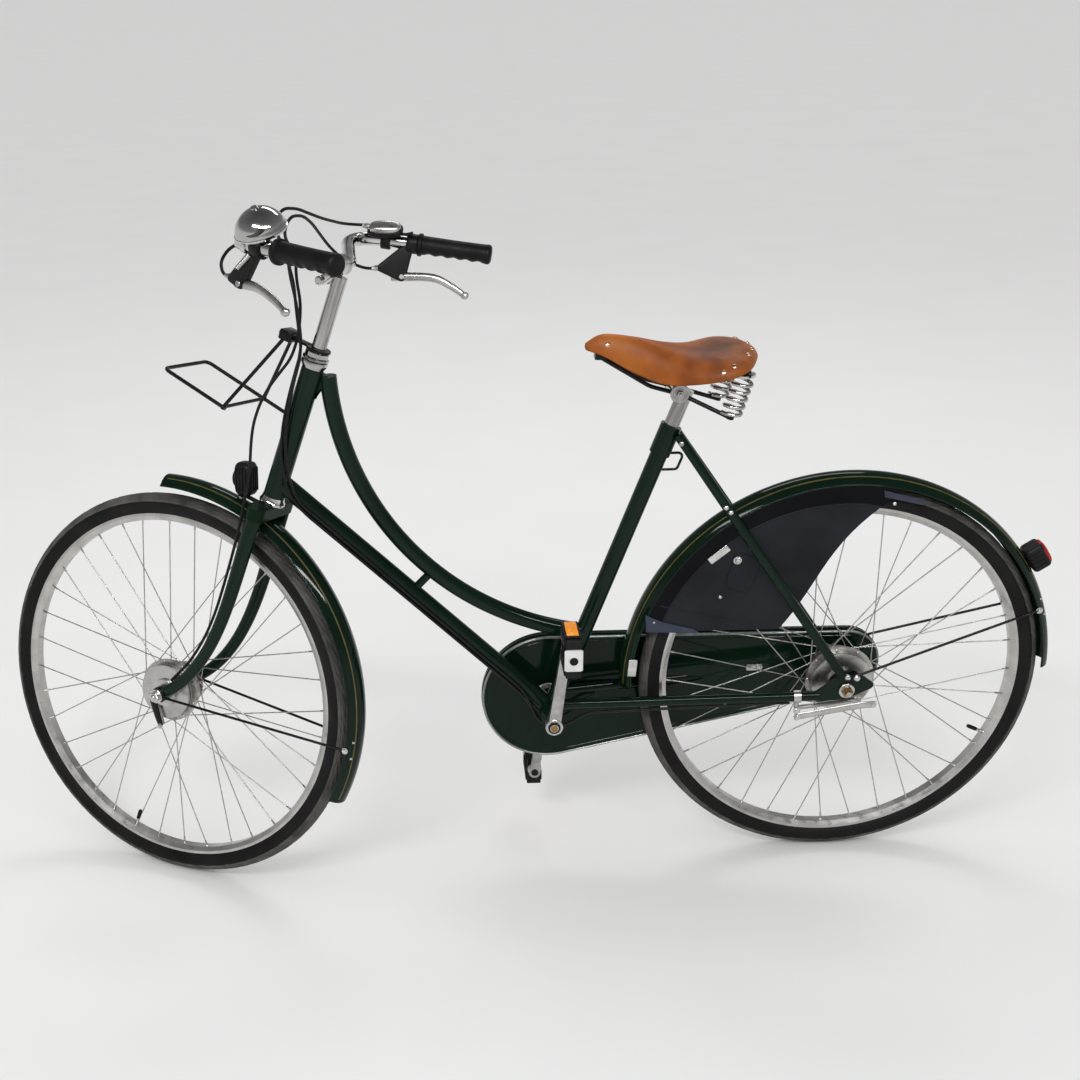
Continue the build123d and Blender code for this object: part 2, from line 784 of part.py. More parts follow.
stay_run = vec(stay_front) - vec(stay_rear)
band_share = (arm_front - stay_rear[0]) / stay_run.X
band_place = vec(stay_rear) + stay_run * band_share
band_line = stay_run.normalized()
arm_z = tyre_radius - arm_drop
rear_arm = rod((arm_rear, plate_y + plate_sheet, arm_z), (arm_front, band_place.Y, arm_z), arm_radius)
band_link = rod((arm_front, band_place.Y, arm_z), (arm_front, band_place.Y, band_place.Z), arm_radius)
band_reach = band_line * stay_band_half
band = rod(band_place - band_reach, band_place + band_reach, chain_stay_radius + band_wall)
stay_clear = rod(stay_front, stay_rear, chain_stay_radius)
rear_plate = brake_plate(rear_axle_place, rear_flanges)
add("rear_brake_plate", rear_plate + rear_arm + band_link + band - stay_clear)

# Fork, turned with all that it carries
crown_high = head_low - cup_height - bearing_gap
crown_low = crown_high - crown_height
bend_angle = math.acos(1 - fork_rake / blade_bend)
bend_start = blade_bend * math.sin(bend_angle)


def blade_section(along, ahead, y, tilt, halves):
    leaning = axis_up * math.cos(tilt) - axis_ahead * math.sin(tilt)
    across_blade = axis_ahead * math.cos(tilt) + axis_up * math.sin(tilt)
    plane = Plane(origin=on_axis(along, ahead, y), x_dir=tuple(across_blade), z_dir=tuple(leaning))
    return plane * Ellipse(*halves)


def fork_blade(side):
    top, bend, tip = blade_sections
    middle = tuple((one + two) / 2 for one, two in zip(bend, tip))
    half = bend_angle / 2
    low_y = side * blade_low_y
    sections = [
        blade_section(crown_low + crown_height / 4, 0, side * blade_top_y, 0, top),
        blade_section(bend_start, 0, low_y, 0, bend),
        blade_section(bend_start - blade_bend * math.sin(half), blade_bend * (1 - math.cos(half)), low_y,
                      half, middle),
        blade_section(0, fork_rake, low_y, bend_angle, tip),
    ]
    return loft(sections)


crown_discs = Sketch()
for side in (1, -1):
    crown_discs += Pos(0, side * blade_top_y) * Circle(crown_end_radius)
crown = extrude(axis_plane(crown_low) * make_hull(crown_discs.edges()), crown_height)
nut_low = head_high + cup_height + 2 * bearing_gap
nut_high = nut_low + nut_height
steerer = axis_rod(crown_low, nut_high - 4 * bearing_gap, steerer_radius)
race = axis_rod(crown_high - bearing_gap, crown_high + bearing_gap / 2, cup_radius - 1)
blades = [fork_blade(side) for side in (1, -1)]
add("fork_crown", steerer + crown + race - blades[0] - blades[1], True)


def fork_end(side):
    inner = side * (blade_low_y - fork_end_half)
    outer = side * (blade_low_y + fork_end_half)
    return across(wheelbase, tyre_radius, inner, outer, fork_end_radius) - front_axle_cut


ends = [fork_end(side) for side in (1, -1)]
end_clear = across(wheelbase, tyre_radius, -2 * blade_low_y, 2 * blade_low_y, fork_end_radius + seat_clear)
add("fork_blades", [blade - end_clear for blade in blades], True)
add("fork_ends", ends, True)
front_axle_half = front_nut_y + 2 * stay_hold + front_nut_height
front_axle = across(wheelbase, tyre_radius, -front_axle_half, front_axle_half, axle_radius)
for side in (1, -1):
    inner_end = side * (blade_low_y - fork_end_half)
    outer_end = side * (blade_low_y + fork_end_half)
    nut_start = side * (front_axle_half - front_nut_height)
    front_axle += across(wheelbase, tyre_radius, outer_end, side * front_nut_y, spacer_radius)
    front_axle += across(wheelbase, tyre_radius, nut_start, side * front_axle_half, axle_nut_radius)
    front_axle += across(wheelbase, tyre_radius, side * (drum_edge + cone_gap), inner_end, cone_radius)
add("front_axle", front_axle, True)
front_plate = brake_plate(front_axle_place, front_flanges)
lever_root = front_axle_place + Vector(0, plate_y + plate_sheet, 0)
lever_ends = [tuple(lever_root + vec(point)) for point in front_lever_points]
front_lever = rod(*lever_ends, front_lever_radius)
add("front_brake_plate", front_plate + front_lever, True)
add("front_mudguard_stays", front_stays, True)
nut_bore = axis_rod(nut_low - bearing_gap, nut_high + bearing_gap, steerer_radius)
add("headset_nut", axis_rod(nut_low, nut_high, nut_radius) - nut_bore, True)

# Stem, handlebar and what sits on it
bar_along = head_high + bar_rise
bar_centre = vec(on_axis(bar_along, bar_ahead))


def from_clamp(point, side=1):
    return tuple(bar_centre + Vector(point[0], side * point[1], point[2]))


left_bar = [from_clamp(point) for point in (bar_inner, bar_outer, bar_tip)]
right_bar = [(x, -y, z) for x, y, z in left_bar]
handlebar = pipe(right_bar[::-1] + left_bar, bar_bends[::-1] + bar_bends, bar_radius)
stem = axis_rod(nut_high - 4 * bearing_gap + seat_clear, bar_along - stem_short, stem_radius)
barrel_x, _, barrel_z = from_clamp(bar_inner)
stem += across(barrel_x, barrel_z, -barrel_half, barrel_half, barrel_radius)
add("stem", stem - handlebar, True)
add("handlebar", handlebar, True)
bar_end = vec(left_bar[2])
bar_line = (vec(left_bar[1]) - bar_end).normalized()


def on_bar(distance, side=1):
    point = bar_end + bar_line * distance
    return (point.X, side * point.Y, point.Z)


grips = [rod(on_bar(-grip_cap, side), on_bar(grip_length, side), grip_radius)
         - rod(on_bar(0, side), on_bar(2 * grip_length, side), bar_radius) for side in (1, -1)]
add("grips", grips, True)


def from_band(place, offset, side):
    return (place[0] + offset[0], place[1] + side * offset[1], place[2] + offset[2])


brackets = []
levers = []
noses = []
for side, distance, nose, pivot, bend, tip in lever_rows:
    place = on_bar(distance, side)
    band = rod(on_bar(distance - band_half, side), on_bar(distance + band_half, side), band_radius)
    nose_place = from_band(place, nose, side)
    pivot_place = from_band(place, pivot, side)
    housing = band + rod(place, nose_place, nose_radius) + rod(place, pivot_place, nose_radius + 1)
    housing -= handlebar
    brackets.append(housing)
    noses.append(nose_place)
    blade_points = [from_band(place, offset, side) for offset in (pivot, bend, tip)]
    path = route(blade_points, (blade_bend_radius,))
    base = Plane(origin=blade_points[0], x_dir=(0, 0, 1), z_dir=vec(blade_points[1]) - vec(blade_points[0]))
    blade = sweep(base * RectangleRounded(*blade_thick, blade_thick[0] / 3), path=path)
    levers.append(blade - housing)
add("brake_brackets", brackets, True)
add("brake_levers", levers, True)

bell_x, bell_y, bell_z = on_bar(bell_at)
bell_foot = (bell_x - bell_back, bell_y - bell_inset, bell_z + bell_rise)
bell_up = Plane(origin=bell_foot, z_dir=bell_lean)
bell_ball = (bell_radius**2 + bell_dome**2) / (2 * bell_dome)
above_lip = Box(3 * bell_radius, 3 * bell_radius, 2 * bell_dome,
                align=(Align.CENTER, Align.CENTER, Align.MIN))
dome = bell_up * ((Pos(0, 0, bell_dome - bell_ball) * Sphere(bell_ball)) & above_lip)
bell_base = rod((bell_x, bell_y, bell_z), tuple(vec(bell_foot) + Vector(0, 0, bell_dome / 3)), bell_post)
bell_base += rod(on_bar(bell_at - band_half / 2), on_bar(bell_at + band_half / 2), bell_band_radius)
add("bell", dome + (bell_base - handlebar), True)

shift_x, shift_y, shift_z = on_bar(shifter_at, -1)
shifter = rod((shift_x, shift_y, shift_z), (shift_x, shift_y, shift_z + shifter_rise), shifter_post)
shifter += rod(on_bar(shifter_at - band_half, -1), on_bar(shifter_at + band_half, -1), shifter_band_radius)
shifter_body = fillet(Box(*shifter_size).edges(), shifter_round)
shifter_turn = math.degrees(math.atan2(bar_line.Y, bar_line.X))
shifter += Pos(shift_x, shift_y, shift_z + shifter_rise) * Rot(0, 0, -shifter_turn) * shifter_body
add("gear_shifter", shifter - handlebar, True)
shift_nose = (shift_x + bar_line.X * shifter_size[0] / 2, shift_y - bar_line.Y * shifter_size[0] / 2,
              shift_z + shifter_rise)

# Front lamp on a bracket from the crown
lamp_along = crown_high + lamp_rise
lamp_body = fillet(Box(*lamp_size).edges(), lamp_round)
lamp = Pos(*on_axis(lamp_along, lamp_ahead)) * lamp_body
arm_along = crown_low + crown_height / 2
lamp_bracket = rod(on_axis(arm_along), on_axis(arm_along, lamp_ahead), lamp_arm) - crown
lamp_bracket += rod(on_axis(arm_along - lamp_arm, lamp_ahead), on_axis(lamp_along, lamp_ahead), lamp_post)
add("front_lamp", lamp + lamp_bracket, True)

# Front carrier: a bent wire frame hung from a strap round the headset
strap_low = nut_high + seat_clear


def carrier_spot(end, side):
    return on_axis(strap_low + end[0], end[1], side * carrier_half)


back_along = vec(carrier_spot(carrier_back, 1)) - vec(carrier_spot(carrier_front, 1))
back_end = vec(carrier_spot(carrier_back, 1)) + back_along.normalized() * carrier_overlap
carrier_route = (
    tuple(back_end),
    carrier_spot(carrier_front, 1),
    carrier_spot(carrier_front, -1),
    carrier_spot(carrier_tail, -1),
)
carrier = pipe(carrier_route, (carrier_bend, carrier_bend), carrier_wire)
back_x, _, back_z = carrier_spot(carrier_back, 1)
carrier += across(back_x, back_z, -carrier_half, carrier_half, carrier_wire - carrier_thin)
block_low, block_high = [strap_low + along for along in block_along]
block_long = block_span[1] - block_span[0]
block = axis_plane(block_low) * Pos(sum(block_span) / 2, 0, 0) * Box(
    block_long, 2 * block_half, block_high - block_low, align=(Align.CENTER, Align.CENTER, Align.MIN))
for side in (1, -1):
    top = on_axis((block_low + block_high) / 2, sum(block_span) / 2, side * upright_y)
    carrier += rod(carrier_spot(carrier_back, side), top, carrier_wire - carrier_thin / 2)
strap = axis_plane(strap_low) * Pos(block_span[0] / 2, 0, 0) * Box(
    block_span[0] + 2 * strap_sheet, 2 * strap_half, strap_sheet,
    align=(Align.CENTER, Align.CENTER, Align.MIN))
strap += axis_rod(strap_low, strap_low + strap_sheet, nut_radius)
strap -= axis_rod(strap_low - 1, strap_low + 2 * strap_sheet, stem_radius + seat_clear / 2)
add("front_carrier", carrier + block + strap, True)

# Cables on the steering: over the bar and down in front of the stem, one on to the front brake


def near_head(points):
    return [on_axis(head_high + along, ahead, y) for along, ahead, y in points]


left_cable = [noses[0]]
left_cable += [from_clamp(point) for point in left_cable_over]
left_cable += near_head(left_cable_down)
right_cable = [noses[1]]
right_cable += [from_clamp(point) for point in right_cable_over]
right_cable += near_head(right_cable_down)
right_cable += [on_axis(*point) for point in front_brake_down]
gear_cable = [shift_nose]
gear_cable += [from_clamp(point) for point in gear_cable_over]
gear_cable += near_head(gear_cable_down)
add("steering_cables", [cable(left_cable), cable(right_cable), cable(gear_cable)], True)

# Cables on the frame: from the headset down the left of the down tube and under the bracket


def beside_down_tube(points):
    spots = []
    for along, lift, y in points:
        spot = bracket + down_line * along + down_normal * lift
        spots.append((spot.X, y, spot.Z))
    return spots


def under_bracket(points):
    return [tuple(bracket + vec(point)) for point in points]


rear_cable = [turned_on_axis(head_high + left_cable_down[-1][0] - cable_clear, *left_cable_down[-1][1:])]
rear_cable += near_head(rear_cable_head) + beside_down_tube(rear_cable_down)
rear_cable += under_bracket(rear_cable_bracket)
stay_hang = chain_stay_radius + cable_radius + cable_clear
rear_cable.append(tuple(band_place + band_line * rear_cable_stop - Vector(0, 0, stay_hang)))
hub_cable = [turned_on_axis(head_high + gear_cable_down[-1][0] - cable_clear, *gear_cable_down[-1][1:])]
hub_cable += near_head(hub_cable_head) + beside_down_tube(hub_cable_down)
hub_cable += under_bracket(hub_cable_bracket)
add("frame_cables", [cable(rear_cable), cable(hub_cable)])

# Cranks and pedals
spindle_half = crank_plane + crank_half + spindle_out
spindle = across(bracket.X, bracket.Z, -spindle_half, spindle_half, spindle_shaft)
add("crank_spindle", spindle)
lean_turn = math.radians(crank_lean)


def crank_end(side, length):
    x = bracket.X - side * length * math.sin(lean_turn)
    z = bracket.Z + side * length * math.cos(lean_turn)
    return x, z


for side, name in ((1, "left"), (-1, "right")):
    x, z = crank_end(side, crank_length)
    inner = side * (crank_plane - crank_half)
    outer = side * (crank_plane + crank_half)
    lobes = ((bracket.X, bracket.Z, crank_boss * crank_taper), (x, z, crank_eye * crank_taper))
    crank = hull_plate(lobes, inner, outer)
    boss_span = (inner - side * 2 * crank_boss_out, outer + side * crank_boss_out)
    crank += across(bracket.X, bracket.Z, *boss_span, crank_boss)
    crank += across(x, z, inner, outer, crank_eye)
    crank -= spindle
    low, high = [side * y for y in pedal_span]
    crank += across(x, z, outer, high, spindle_radius)
    add("crank_" + name, crank)
    bore = across(x, z, inner, side * 2 * pedal_span[1], spindle_radius + running_gap)
    cage = across(x, z, low, high, pedal_core)
    for start in (low, high - side * pedal_plate):
        end_plate = Box(pedal_height - pedal_plate_inset, pedal_plate, pedal_length)
        cage += Pos(x, start + side * pedal_plate / 2, z) * end_plate
    add("pedal_" + name, cage - bore)
    blocks = []
    block_long = abs(high - low) - 2 * pedal_plate
    for end in (1, -1):
        block = fillet(Box(pedal_height, block_long, block_height).edges().filter_by(Axis.Y), block_round)
        blocks.append(Pos(x, (low + high) / 2, z + end * block_rise) * block)
    add("pedal_rubbers_" + name, blocks)

os.makedirs("parts", exist_ok=True)
for name, shape in nodes.items():
    print(name, len(shape.solids()), round(shape.volume))
    export_step(shape, "parts/" + name + ".step")
print(len(nodes), "nodes")
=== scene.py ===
import json
from math import acos, atan2, copysign, cos, degrees, hypot, pi, radians, sin
import bmesh
import bpy
from mathutils import Matrix, Vector


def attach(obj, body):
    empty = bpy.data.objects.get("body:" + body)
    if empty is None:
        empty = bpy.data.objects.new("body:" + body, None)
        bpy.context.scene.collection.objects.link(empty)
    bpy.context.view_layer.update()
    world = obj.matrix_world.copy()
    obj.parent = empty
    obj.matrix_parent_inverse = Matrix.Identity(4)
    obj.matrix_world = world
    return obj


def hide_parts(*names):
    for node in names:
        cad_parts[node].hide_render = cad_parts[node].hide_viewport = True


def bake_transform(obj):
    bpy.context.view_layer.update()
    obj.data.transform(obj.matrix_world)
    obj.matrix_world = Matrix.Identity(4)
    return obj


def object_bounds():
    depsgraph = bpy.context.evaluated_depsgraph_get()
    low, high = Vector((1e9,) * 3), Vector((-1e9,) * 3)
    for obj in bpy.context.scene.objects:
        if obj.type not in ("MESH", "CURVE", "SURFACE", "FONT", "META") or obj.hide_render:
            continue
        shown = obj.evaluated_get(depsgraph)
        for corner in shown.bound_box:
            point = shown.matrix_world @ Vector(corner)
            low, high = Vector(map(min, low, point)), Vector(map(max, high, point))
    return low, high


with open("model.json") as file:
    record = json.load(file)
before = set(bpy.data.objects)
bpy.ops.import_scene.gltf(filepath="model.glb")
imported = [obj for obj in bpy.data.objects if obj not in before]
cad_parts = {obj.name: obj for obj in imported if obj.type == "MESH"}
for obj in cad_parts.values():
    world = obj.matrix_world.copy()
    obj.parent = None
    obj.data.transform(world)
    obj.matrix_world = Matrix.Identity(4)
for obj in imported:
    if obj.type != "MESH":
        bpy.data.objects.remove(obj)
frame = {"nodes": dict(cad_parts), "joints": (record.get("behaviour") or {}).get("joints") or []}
cadBounds = [[float(value) for value in corner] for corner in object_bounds()]
print("frame loaded:", len(frame["nodes"]), "nodes")

# Places: pieces are drawn in millimetres, X ahead of the rear axle, Y to the left, Z above the ground,
# with the steering straight, and go to the frame's own metres at the end
moved = Matrix.Translation
joints = {joint["name"]: joint for joint in frame["joints"]}
wheel = dict(radius=348, wheelbase=1174, restTurn=-27.4, headLean=70, forkOffset=74)
rearAxle = Vector(joints["rear_wheel_spin"]["pos_m"])
groundZero = rearAxle - Vector((0, 0, wheel["radius"] / 1000))
steerAxis = Vector(joints["steering_turn"]["axis"]).normalized()
steerPlace = Vector(joints["steering_turn"]["pos_m"])
toPart = moved(groundZero) @ Matrix.Scale(0.001, 4)
steerTurn = moved(steerPlace)
steerTurn = steerTurn @ Matrix.Rotation(radians(wheel["restTurn"]), 4, steerAxis)
steerTurn = steerTurn @ moved(-steerPlace)
turnedBodies = ("steering", "front_wheel")
rearHub = Vector((0, 0, wheel["radius"]))
frontHub = Vector((wheel["wheelbase"], 0, wheel["radius"]))
headLean = radians(wheel["headLean"])
axisUp = Vector((-cos(headLean), 0, sin(headLean)))
axisAhead = Vector((sin(headLean), 0, cos(headLean)))
axisFoot = frontHub - axisAhead * wheel["forkOffset"]


def onAxis(rise, ahead=0.0, y=0.0):
    return axisFoot + axisUp * rise + axisAhead * ahead + Vector((0, y, 0))


def sideways(distance):
    return Vector((0, distance, 0))


def wheelward(turn):
    return Vector((cos(turn), 0, sin(turn)))


# Camera at the photograph's place, and the studio
view = dict(place=(0.43259, 2.32557, 0.59384), sensor=36, lens=49.506, shift=(0.1004, 0.1007),
            right=(-0.9995, 0.01609, -0.02714), down=(0.03144, 0.43435, -0.9002),
            ahead=(-0.00269, -0.9006, -0.43464))
studio = dict(floorSize=400, floorColour=(0.84, 0.84, 0.835), skyFill=0.80, lampAim=Vector((0.25, 0, -0.35)),
              skyStops=((0.0, (0.66, 0.66, 0.66)), (0.10, (0.62, 0.62, 0.62)), (0.26, (0.25, 0.25, 0.255)),
                        (1.0, (0.09, 0.09, 0.095))))
# name, place, width, height, power, lights the colours as well as the gloss
lampRows = (
    ("keyLamp", (1.8, 2.9, 2.6), 2.0, 0.45, 52, True),
    ("stripLamp", (-0.4, 3.0, 2.3), 3.2, 0.26, 100, False),
    ("backLamp", (-0.4, -2.6, 2.6), 2.4, 0.7, 24, True),
)


def addNode(tree, kind, sockets=None):
    node = tree.nodes.new("ShaderNode" + kind)
    for socket, value in (sockets or {}).items():
        node.inputs[socket].default_value = value
    return node


def ramp(tree, source, stops):
    node = addNode(tree, "ValToRGB")
    node.color_ramp.elements[0].position = stops[0][0]
    node.color_ramp.elements[0].color = (*stops[0][1], 1)
    node.color_ramp.elements[1].position = stops[-1][0]
    node.color_ramp.elements[1].color = (*stops[-1][1], 1)
    for position, colour in stops[1:-1]:
        element = node.color_ramp.elements.new(position)
        element.color = (*colour, 1)
    tree.links.new(source, node.inputs[0])
    return node.outputs[0]


def makeCamera():
    data = bpy.data.cameras.new("photoCamera")
    data.sensor_width = view["sensor"]
    data.lens = view["lens"]
    data.shift_x, data.shift_y = view["shift"]
    camera = bpy.data.objects.new("photoCamera", data)
    columns = [Vector(view["right"]).normalized(), -Vector(view["down"]).normalized(),
               -Vector(view["ahead"]).normalized()]
    turn = Matrix(columns).transposed().to_4x4()
    camera.matrix_world = moved(view["place"]) @ turn
    bpy.context.scene.collection.objects.link(camera)
    bpy.context.scene.camera = camera


def makeLamps():
    for name, place, width, height, power, lightsColour in lampRows:
        data = bpy.data.lights.new(name, "AREA")
        data.shape = "RECTANGLE"
        data.size = width
        data.size_y = height
        data.energy = power
        lamp = bpy.data.objects.new(name, data)
        aim = studio["lampAim"] - Vector(place)
        lamp.matrix_world = moved(place) @ aim.to_track_quat("-Z", "Y").to_matrix().to_4x4()
        lamp.visible_diffuse = lightsColour
        bpy.context.scene.collection.objects.link(lamp)


def makeSky():
    world = bpy.data.worlds.new("studioSky")
    world.use_nodes = True
    tree = world.node_tree
    tree.nodes.clear()
    output = addNode(tree, "OutputWorld")
    seen = addNode(tree, "Background")
    fill = addNode(tree, "Background", {"Color": (1, 1, 1, 1), "Strength": studio["skyFill"]})
    mix = addNode(tree, "MixShader")
    path = addNode(tree, "LightPath")
    heading = addNode(tree, "TexCoord")
    height = addNode(tree, "SeparateXYZ")
    tree.links.new(heading.outputs["Generated"], height.inputs[0])
    tree.links.new(ramp(tree, height.outputs["Z"], studio["skyStops"]), seen.inputs["Color"])
    share = path.outputs["Is Camera Ray"]
    for ray in ("Is Glossy Ray", "Is Transmission Ray"):
        either = addNode(tree, "Math")
        either.operation = "MAXIMUM"
        tree.links.new(share, either.inputs[0])
        tree.links.new(path.outputs[ray], either.inputs[1])
        share = either.outputs[0]
    tree.links.new(share, mix.inputs[0])
    tree.links.new(fill.outputs[0], mix.inputs[1])
    tree.links.new(seen.outputs[0], mix.inputs[2])
    tree.links.new(mix.outputs[0], output.inputs["Surface"])
    bpy.context.scene.world = world


bpy.context.scene.view_settings.view_transform = "Standard"
makeCamera()
makeLamps()
makeSky()
print("camera and studio set")


# Finishes: every one varies in colour, gloss and relief through its own nodes
finishes = {}


def newFinish(name, sockets):
    material = bpy.data.materials.new(name)
    material.use_nodes = True
    tree = material.node_tree
    shader = tree.nodes["Principled BSDF"]
    for socket, value in sockets.items():
        shader.inputs[socket].default_value = value
    finishes[name] = material
    return tree, shader


def texture(tree, kind, scale, stretch=(1, 1, 1), lean=0.0, **settings):
    place = addNode(tree, "TexCoord")
    mapping = addNode(tree, "Mapping", {"Rotation": (0, lean, 0), "Scale": [1 / part for part in stretch]})
    mapping.vector_type = "TEXTURE"  # turns before it stretches
    tree.links.new(place.outputs["Object"], mapping.inputs["Vector"])
    node = addNode(tree, "Tex" + kind, dict(settings, Scale=scale))
    tree.links.new(mapping.outputs["Vector"], node.inputs["Vector"])
    return node.outputs["Distance"] if kind == "Voronoi" else node.outputs[0]


def gloss(tree, shader, source, low, high):
    node = addNode(tree, "MapRange", {"From Min": 0.3, "From Max": 0.7, "To Min": low, "To Max": high})
    tree.links.new(source, node.inputs[0])
    tree.links.new(node.outputs[0], shader.inputs["Roughness"])


def relief(tree, shader, source, strength, depth):
    node = addNode(tree, "Bump", {"Strength": strength, "Distance": depth})
    tree.links.new(source, node.inputs["Height"])
    tree.links.new(node.outputs[0], shader.inputs["Normal"])


# name, dark and light colour in thousandths, metallic, roughness low and high, blotch scale,
# relief scale, strength and depth, shine
finishRows = (
    ("greenPaint", (2, 9.2, 4.8), (4, 15.5, 8.2), 0, 0.05, 0.12, 9, 900, 0.02, 0.0003, 0.18),
    ("crownPaint", (2, 9.2, 4.8), (4, 15.5, 8.2), 0, 0.2, 0.32, 9, 900, 0.04, 0.0003, 0.06),
    ("chromePlate", (400, 395, 390), (660, 655, 650), 1, 0.03, 0.12, 22, 260, 0.02, 0.0004, 0.5),
    # chromeTubePaintedReflections: its dark and light streaks are painted reflections, not the chrome's own
    # colour
    ("chromeTubePaintedReflections", (150, 143, 136), (700, 690, 675), 1, 0.04, 0.16, 60, 260, 0.02, 0.0004, 0.5),
    ("satinAlloy", (420, 410, 395), (570, 560, 545), 1, 0.24, 0.4, 30, 700, 0.1, 0.0004, 0.5),
    ("castAlloy", (300, 295, 285), (500, 490, 475), 1, 0.24, 0.44, 60, 1200, 0.16, 0.0004, 0.5),
    ("spokeSteel", (340, 330, 310), (520, 505, 480), 1, 0.22, 0.4, 45, 1500, 0.08, 0.0003, 0.5),
    ("sidewallRubber", (5, 5, 5), (12, 12, 11.5), 0, 0.46, 0.66, 14, 1100, 0.2, 0.0004, 0.12),
    ("treadRubber", (34, 33, 31), (110, 105, 97), 0, 0.7, 0.92, 26, 800, 0.45, 0.0006, 0.3),
    ("gripRubber", (4, 4, 4), (9, 9, 9), 0, 0.4, 0.58, 40, 1600, 0.18, 0.0003, 0.16),
    ("blackEnamel", (4, 4, 5), (10, 10, 11), 0, 0.14, 0.28, 25, 900, 0.06, 0.0003, 0.2),
    ("blackPlastic", (6, 6, 6.5), (13, 13, 13.5), 0, 0.34, 0.5, 35, 1800, 0.22, 0.0003, 0.16),
    ("coatVinyl", (8.5, 9, 11.5), (18, 19, 24), 0, 0.4, 0.56, 12, 1400, 0.25, 0.0003, 0.15),
    # coatPaintedShadeBand: near-black vinyl that stands for shade under the mudguard's edge, painted on
    ("coatPaintedShadeBand", (2.2, 2.3, 3.4), (4.5, 4.8, 6.4), 0, 0.1, 0.22, 12, 1400, 0.08, 0.0003, 0.08),
    ("flapVinyl", (30, 37, 56), (50, 60, 88), 0, 0.48, 0.64, 22, 1400, 0.25, 0.0003, 0.15),
    ("goldLine", (60, 47, 10), (120, 95, 21), 0, 0.3, 0.44, 70, 900, 0.05, 0.0002, 0.4),
    # caseEdgeHighlight: the pale grey of the chain case's near bead is a painted highlight
    ("caseEdgeHighlight", (160, 175, 165), (300, 320, 305), 0.3, 0.2, 0.36, 40, 900, 0.06, 0.0003, 0.4),
    ("bronzeCap", (200, 105, 35), (400, 235, 85), 1, 0.3, 0.48, 60, 1200, 0.12, 0.0003, 0.5),
    ("copperRivet", (550, 300, 190), (780, 500, 360), 1, 0.2, 0.38, 80, 1200, 0.1, 0.0003, 0.5),
    ("zincBolt", (460, 460, 450), (700, 700, 680), 1, 0.18, 0.36, 70, 1300, 0.1, 0.0003, 0.5),
    ("darkSteel", (55, 54, 52), (130, 128, 122), 1, 0.3, 0.48, 60, 1300, 0.14, 0.0003, 0.5),
    ("pedalWhite", (620, 620, 610), (780, 780, 770), 0, 0.28, 0.44, 50, 1500, 0.08, 0.0002, 0.5),
)
# Finishes with painted reflection streaks along a leaning tube: stretch, lean
paintedReflectionStreaks = dict(chromeTubePaintedReflections=((2.4, 2.4, 0.1), radians(-20)))
plainPatches = ((1, 1, 1), 0.0)


def makeFinishes():
    for name, dark, light, metal, smooth, rough, blotch, grain, strength, depth, shine in finishRows:
        dark, light = [[part / 1000 for part in colour] for colour in (dark, light)]
        tree, shader = newFinish(name, {"Metallic": metal, "Specular IOR Level": shine})
        patches = texture(tree, "Noise", blotch, *paintedReflectionStreaks.get(name, plainPatches), Detail=5.0)
        tree.links.new(ramp(tree, patches, ((0.3, dark), (0.7, light))), shader.inputs["Base Color"])
        gloss(tree, shader, texture(tree, "Noise", blotch * 2.3, Detail=3.0), smooth, rough)
        relief(tree, shader, texture(tree, "Noise", grain, Detail=2.0), strength, depth)


makeFinishes()
print("finishes made:", len(finishes))


# Drawing helpers, all in millimetres
def at(place, direction=(0, 0, 1)):
    turn = Vector(direction).to_track_quat("Z", "Y").to_matrix().to_4x4()
    return moved(Vector(place)) @ turn


def stitch(bm, low, high, mat=0, closed=True):
    count = max(len(low), len(high))
    for first in range(count if closed else count - 1):
        second = (first + 1) % count
        if len(low) == 1:
            corners = (low[0], high[second], high[first])
        elif len(high) == 1:
            corners = (low[first], low[second], high[0])
        else:
            corners = (low[first], low[second], high[second], high[first])
        bm.faces.new(corners).material_index = mat


def skin(bm, rings, mat=0, closed=True):
    for low, high in zip(rings, rings[1:]):
        stitch(bm, low, high, mat, closed)


def addLathe(bm, profile, place, direction, steps=40, mat=0, loop=False):
    base = at(place, direction)
    rings = []
    for radius, height in profile:
        if radius < 0.01:
            rings.append([bm.verts.new(base @ Vector((0, 0, height)))])
            continue
        angles = [2 * pi * step / steps for step in range(steps)]
        rings.append([bm.verts.new(base @ Vector((radius * cos(a), radius * sin(a), height)))
                      for a in angles])
    skin(bm, rings + rings[:1] if loop else rings, mat)


def puck(radius, low, high, slope, edge):
    return (0, low), (radius, low), (radius, high - edge), (radius - slope, high), (0, high)


def band(bore, radius, half, slope, edge):
    low = ((bore, -half), (radius - slope, -half), (radius, edge - half))
    return low + tuple((across, -rise) for across, rise in reversed(low))


def addTube(bm, points, radius, sides=12, mat=0, flat=1.0, hint=(0, 0, 1)):
    spots = [Vector(point) for point in points]
    radii = radius if isinstance(radius, (list, tuple)) else [radius] * len(spots)
    normal = Vector(hint)
    rings = []
    for index, spot in enumerate(spots):
        before = spots[max(index - 1, 0)]
        after = spots[min(index + 1, len(spots) - 1)]
        tangent = (after - before).normalized()
        normal = (normal - tangent * normal.dot(tangent)).normalized()
        side = tangent.cross(normal)
        ring = []
        for step in range(sides):
            turn = 2 * pi * step / sides
            reach = normal * cos(turn) * flat + side * sin(turn)
            ring.append(bm.verts.new(spot + reach * radii[index]))
        rings.append(ring)
    skin(bm, rings, mat)
    for ring in (rings[0], rings[-1]):
        bm.faces.new(ring).material_index = mat


def absorb(bm, extra, mat):
    for face in extra.faces:
        face.material_index = mat
    carrier = bpy.data.meshes.new("carrier")
    extra.to_mesh(carrier)
    extra.free()
    bm.from_mesh(carrier)
    bpy.data.meshes.remove(carrier)


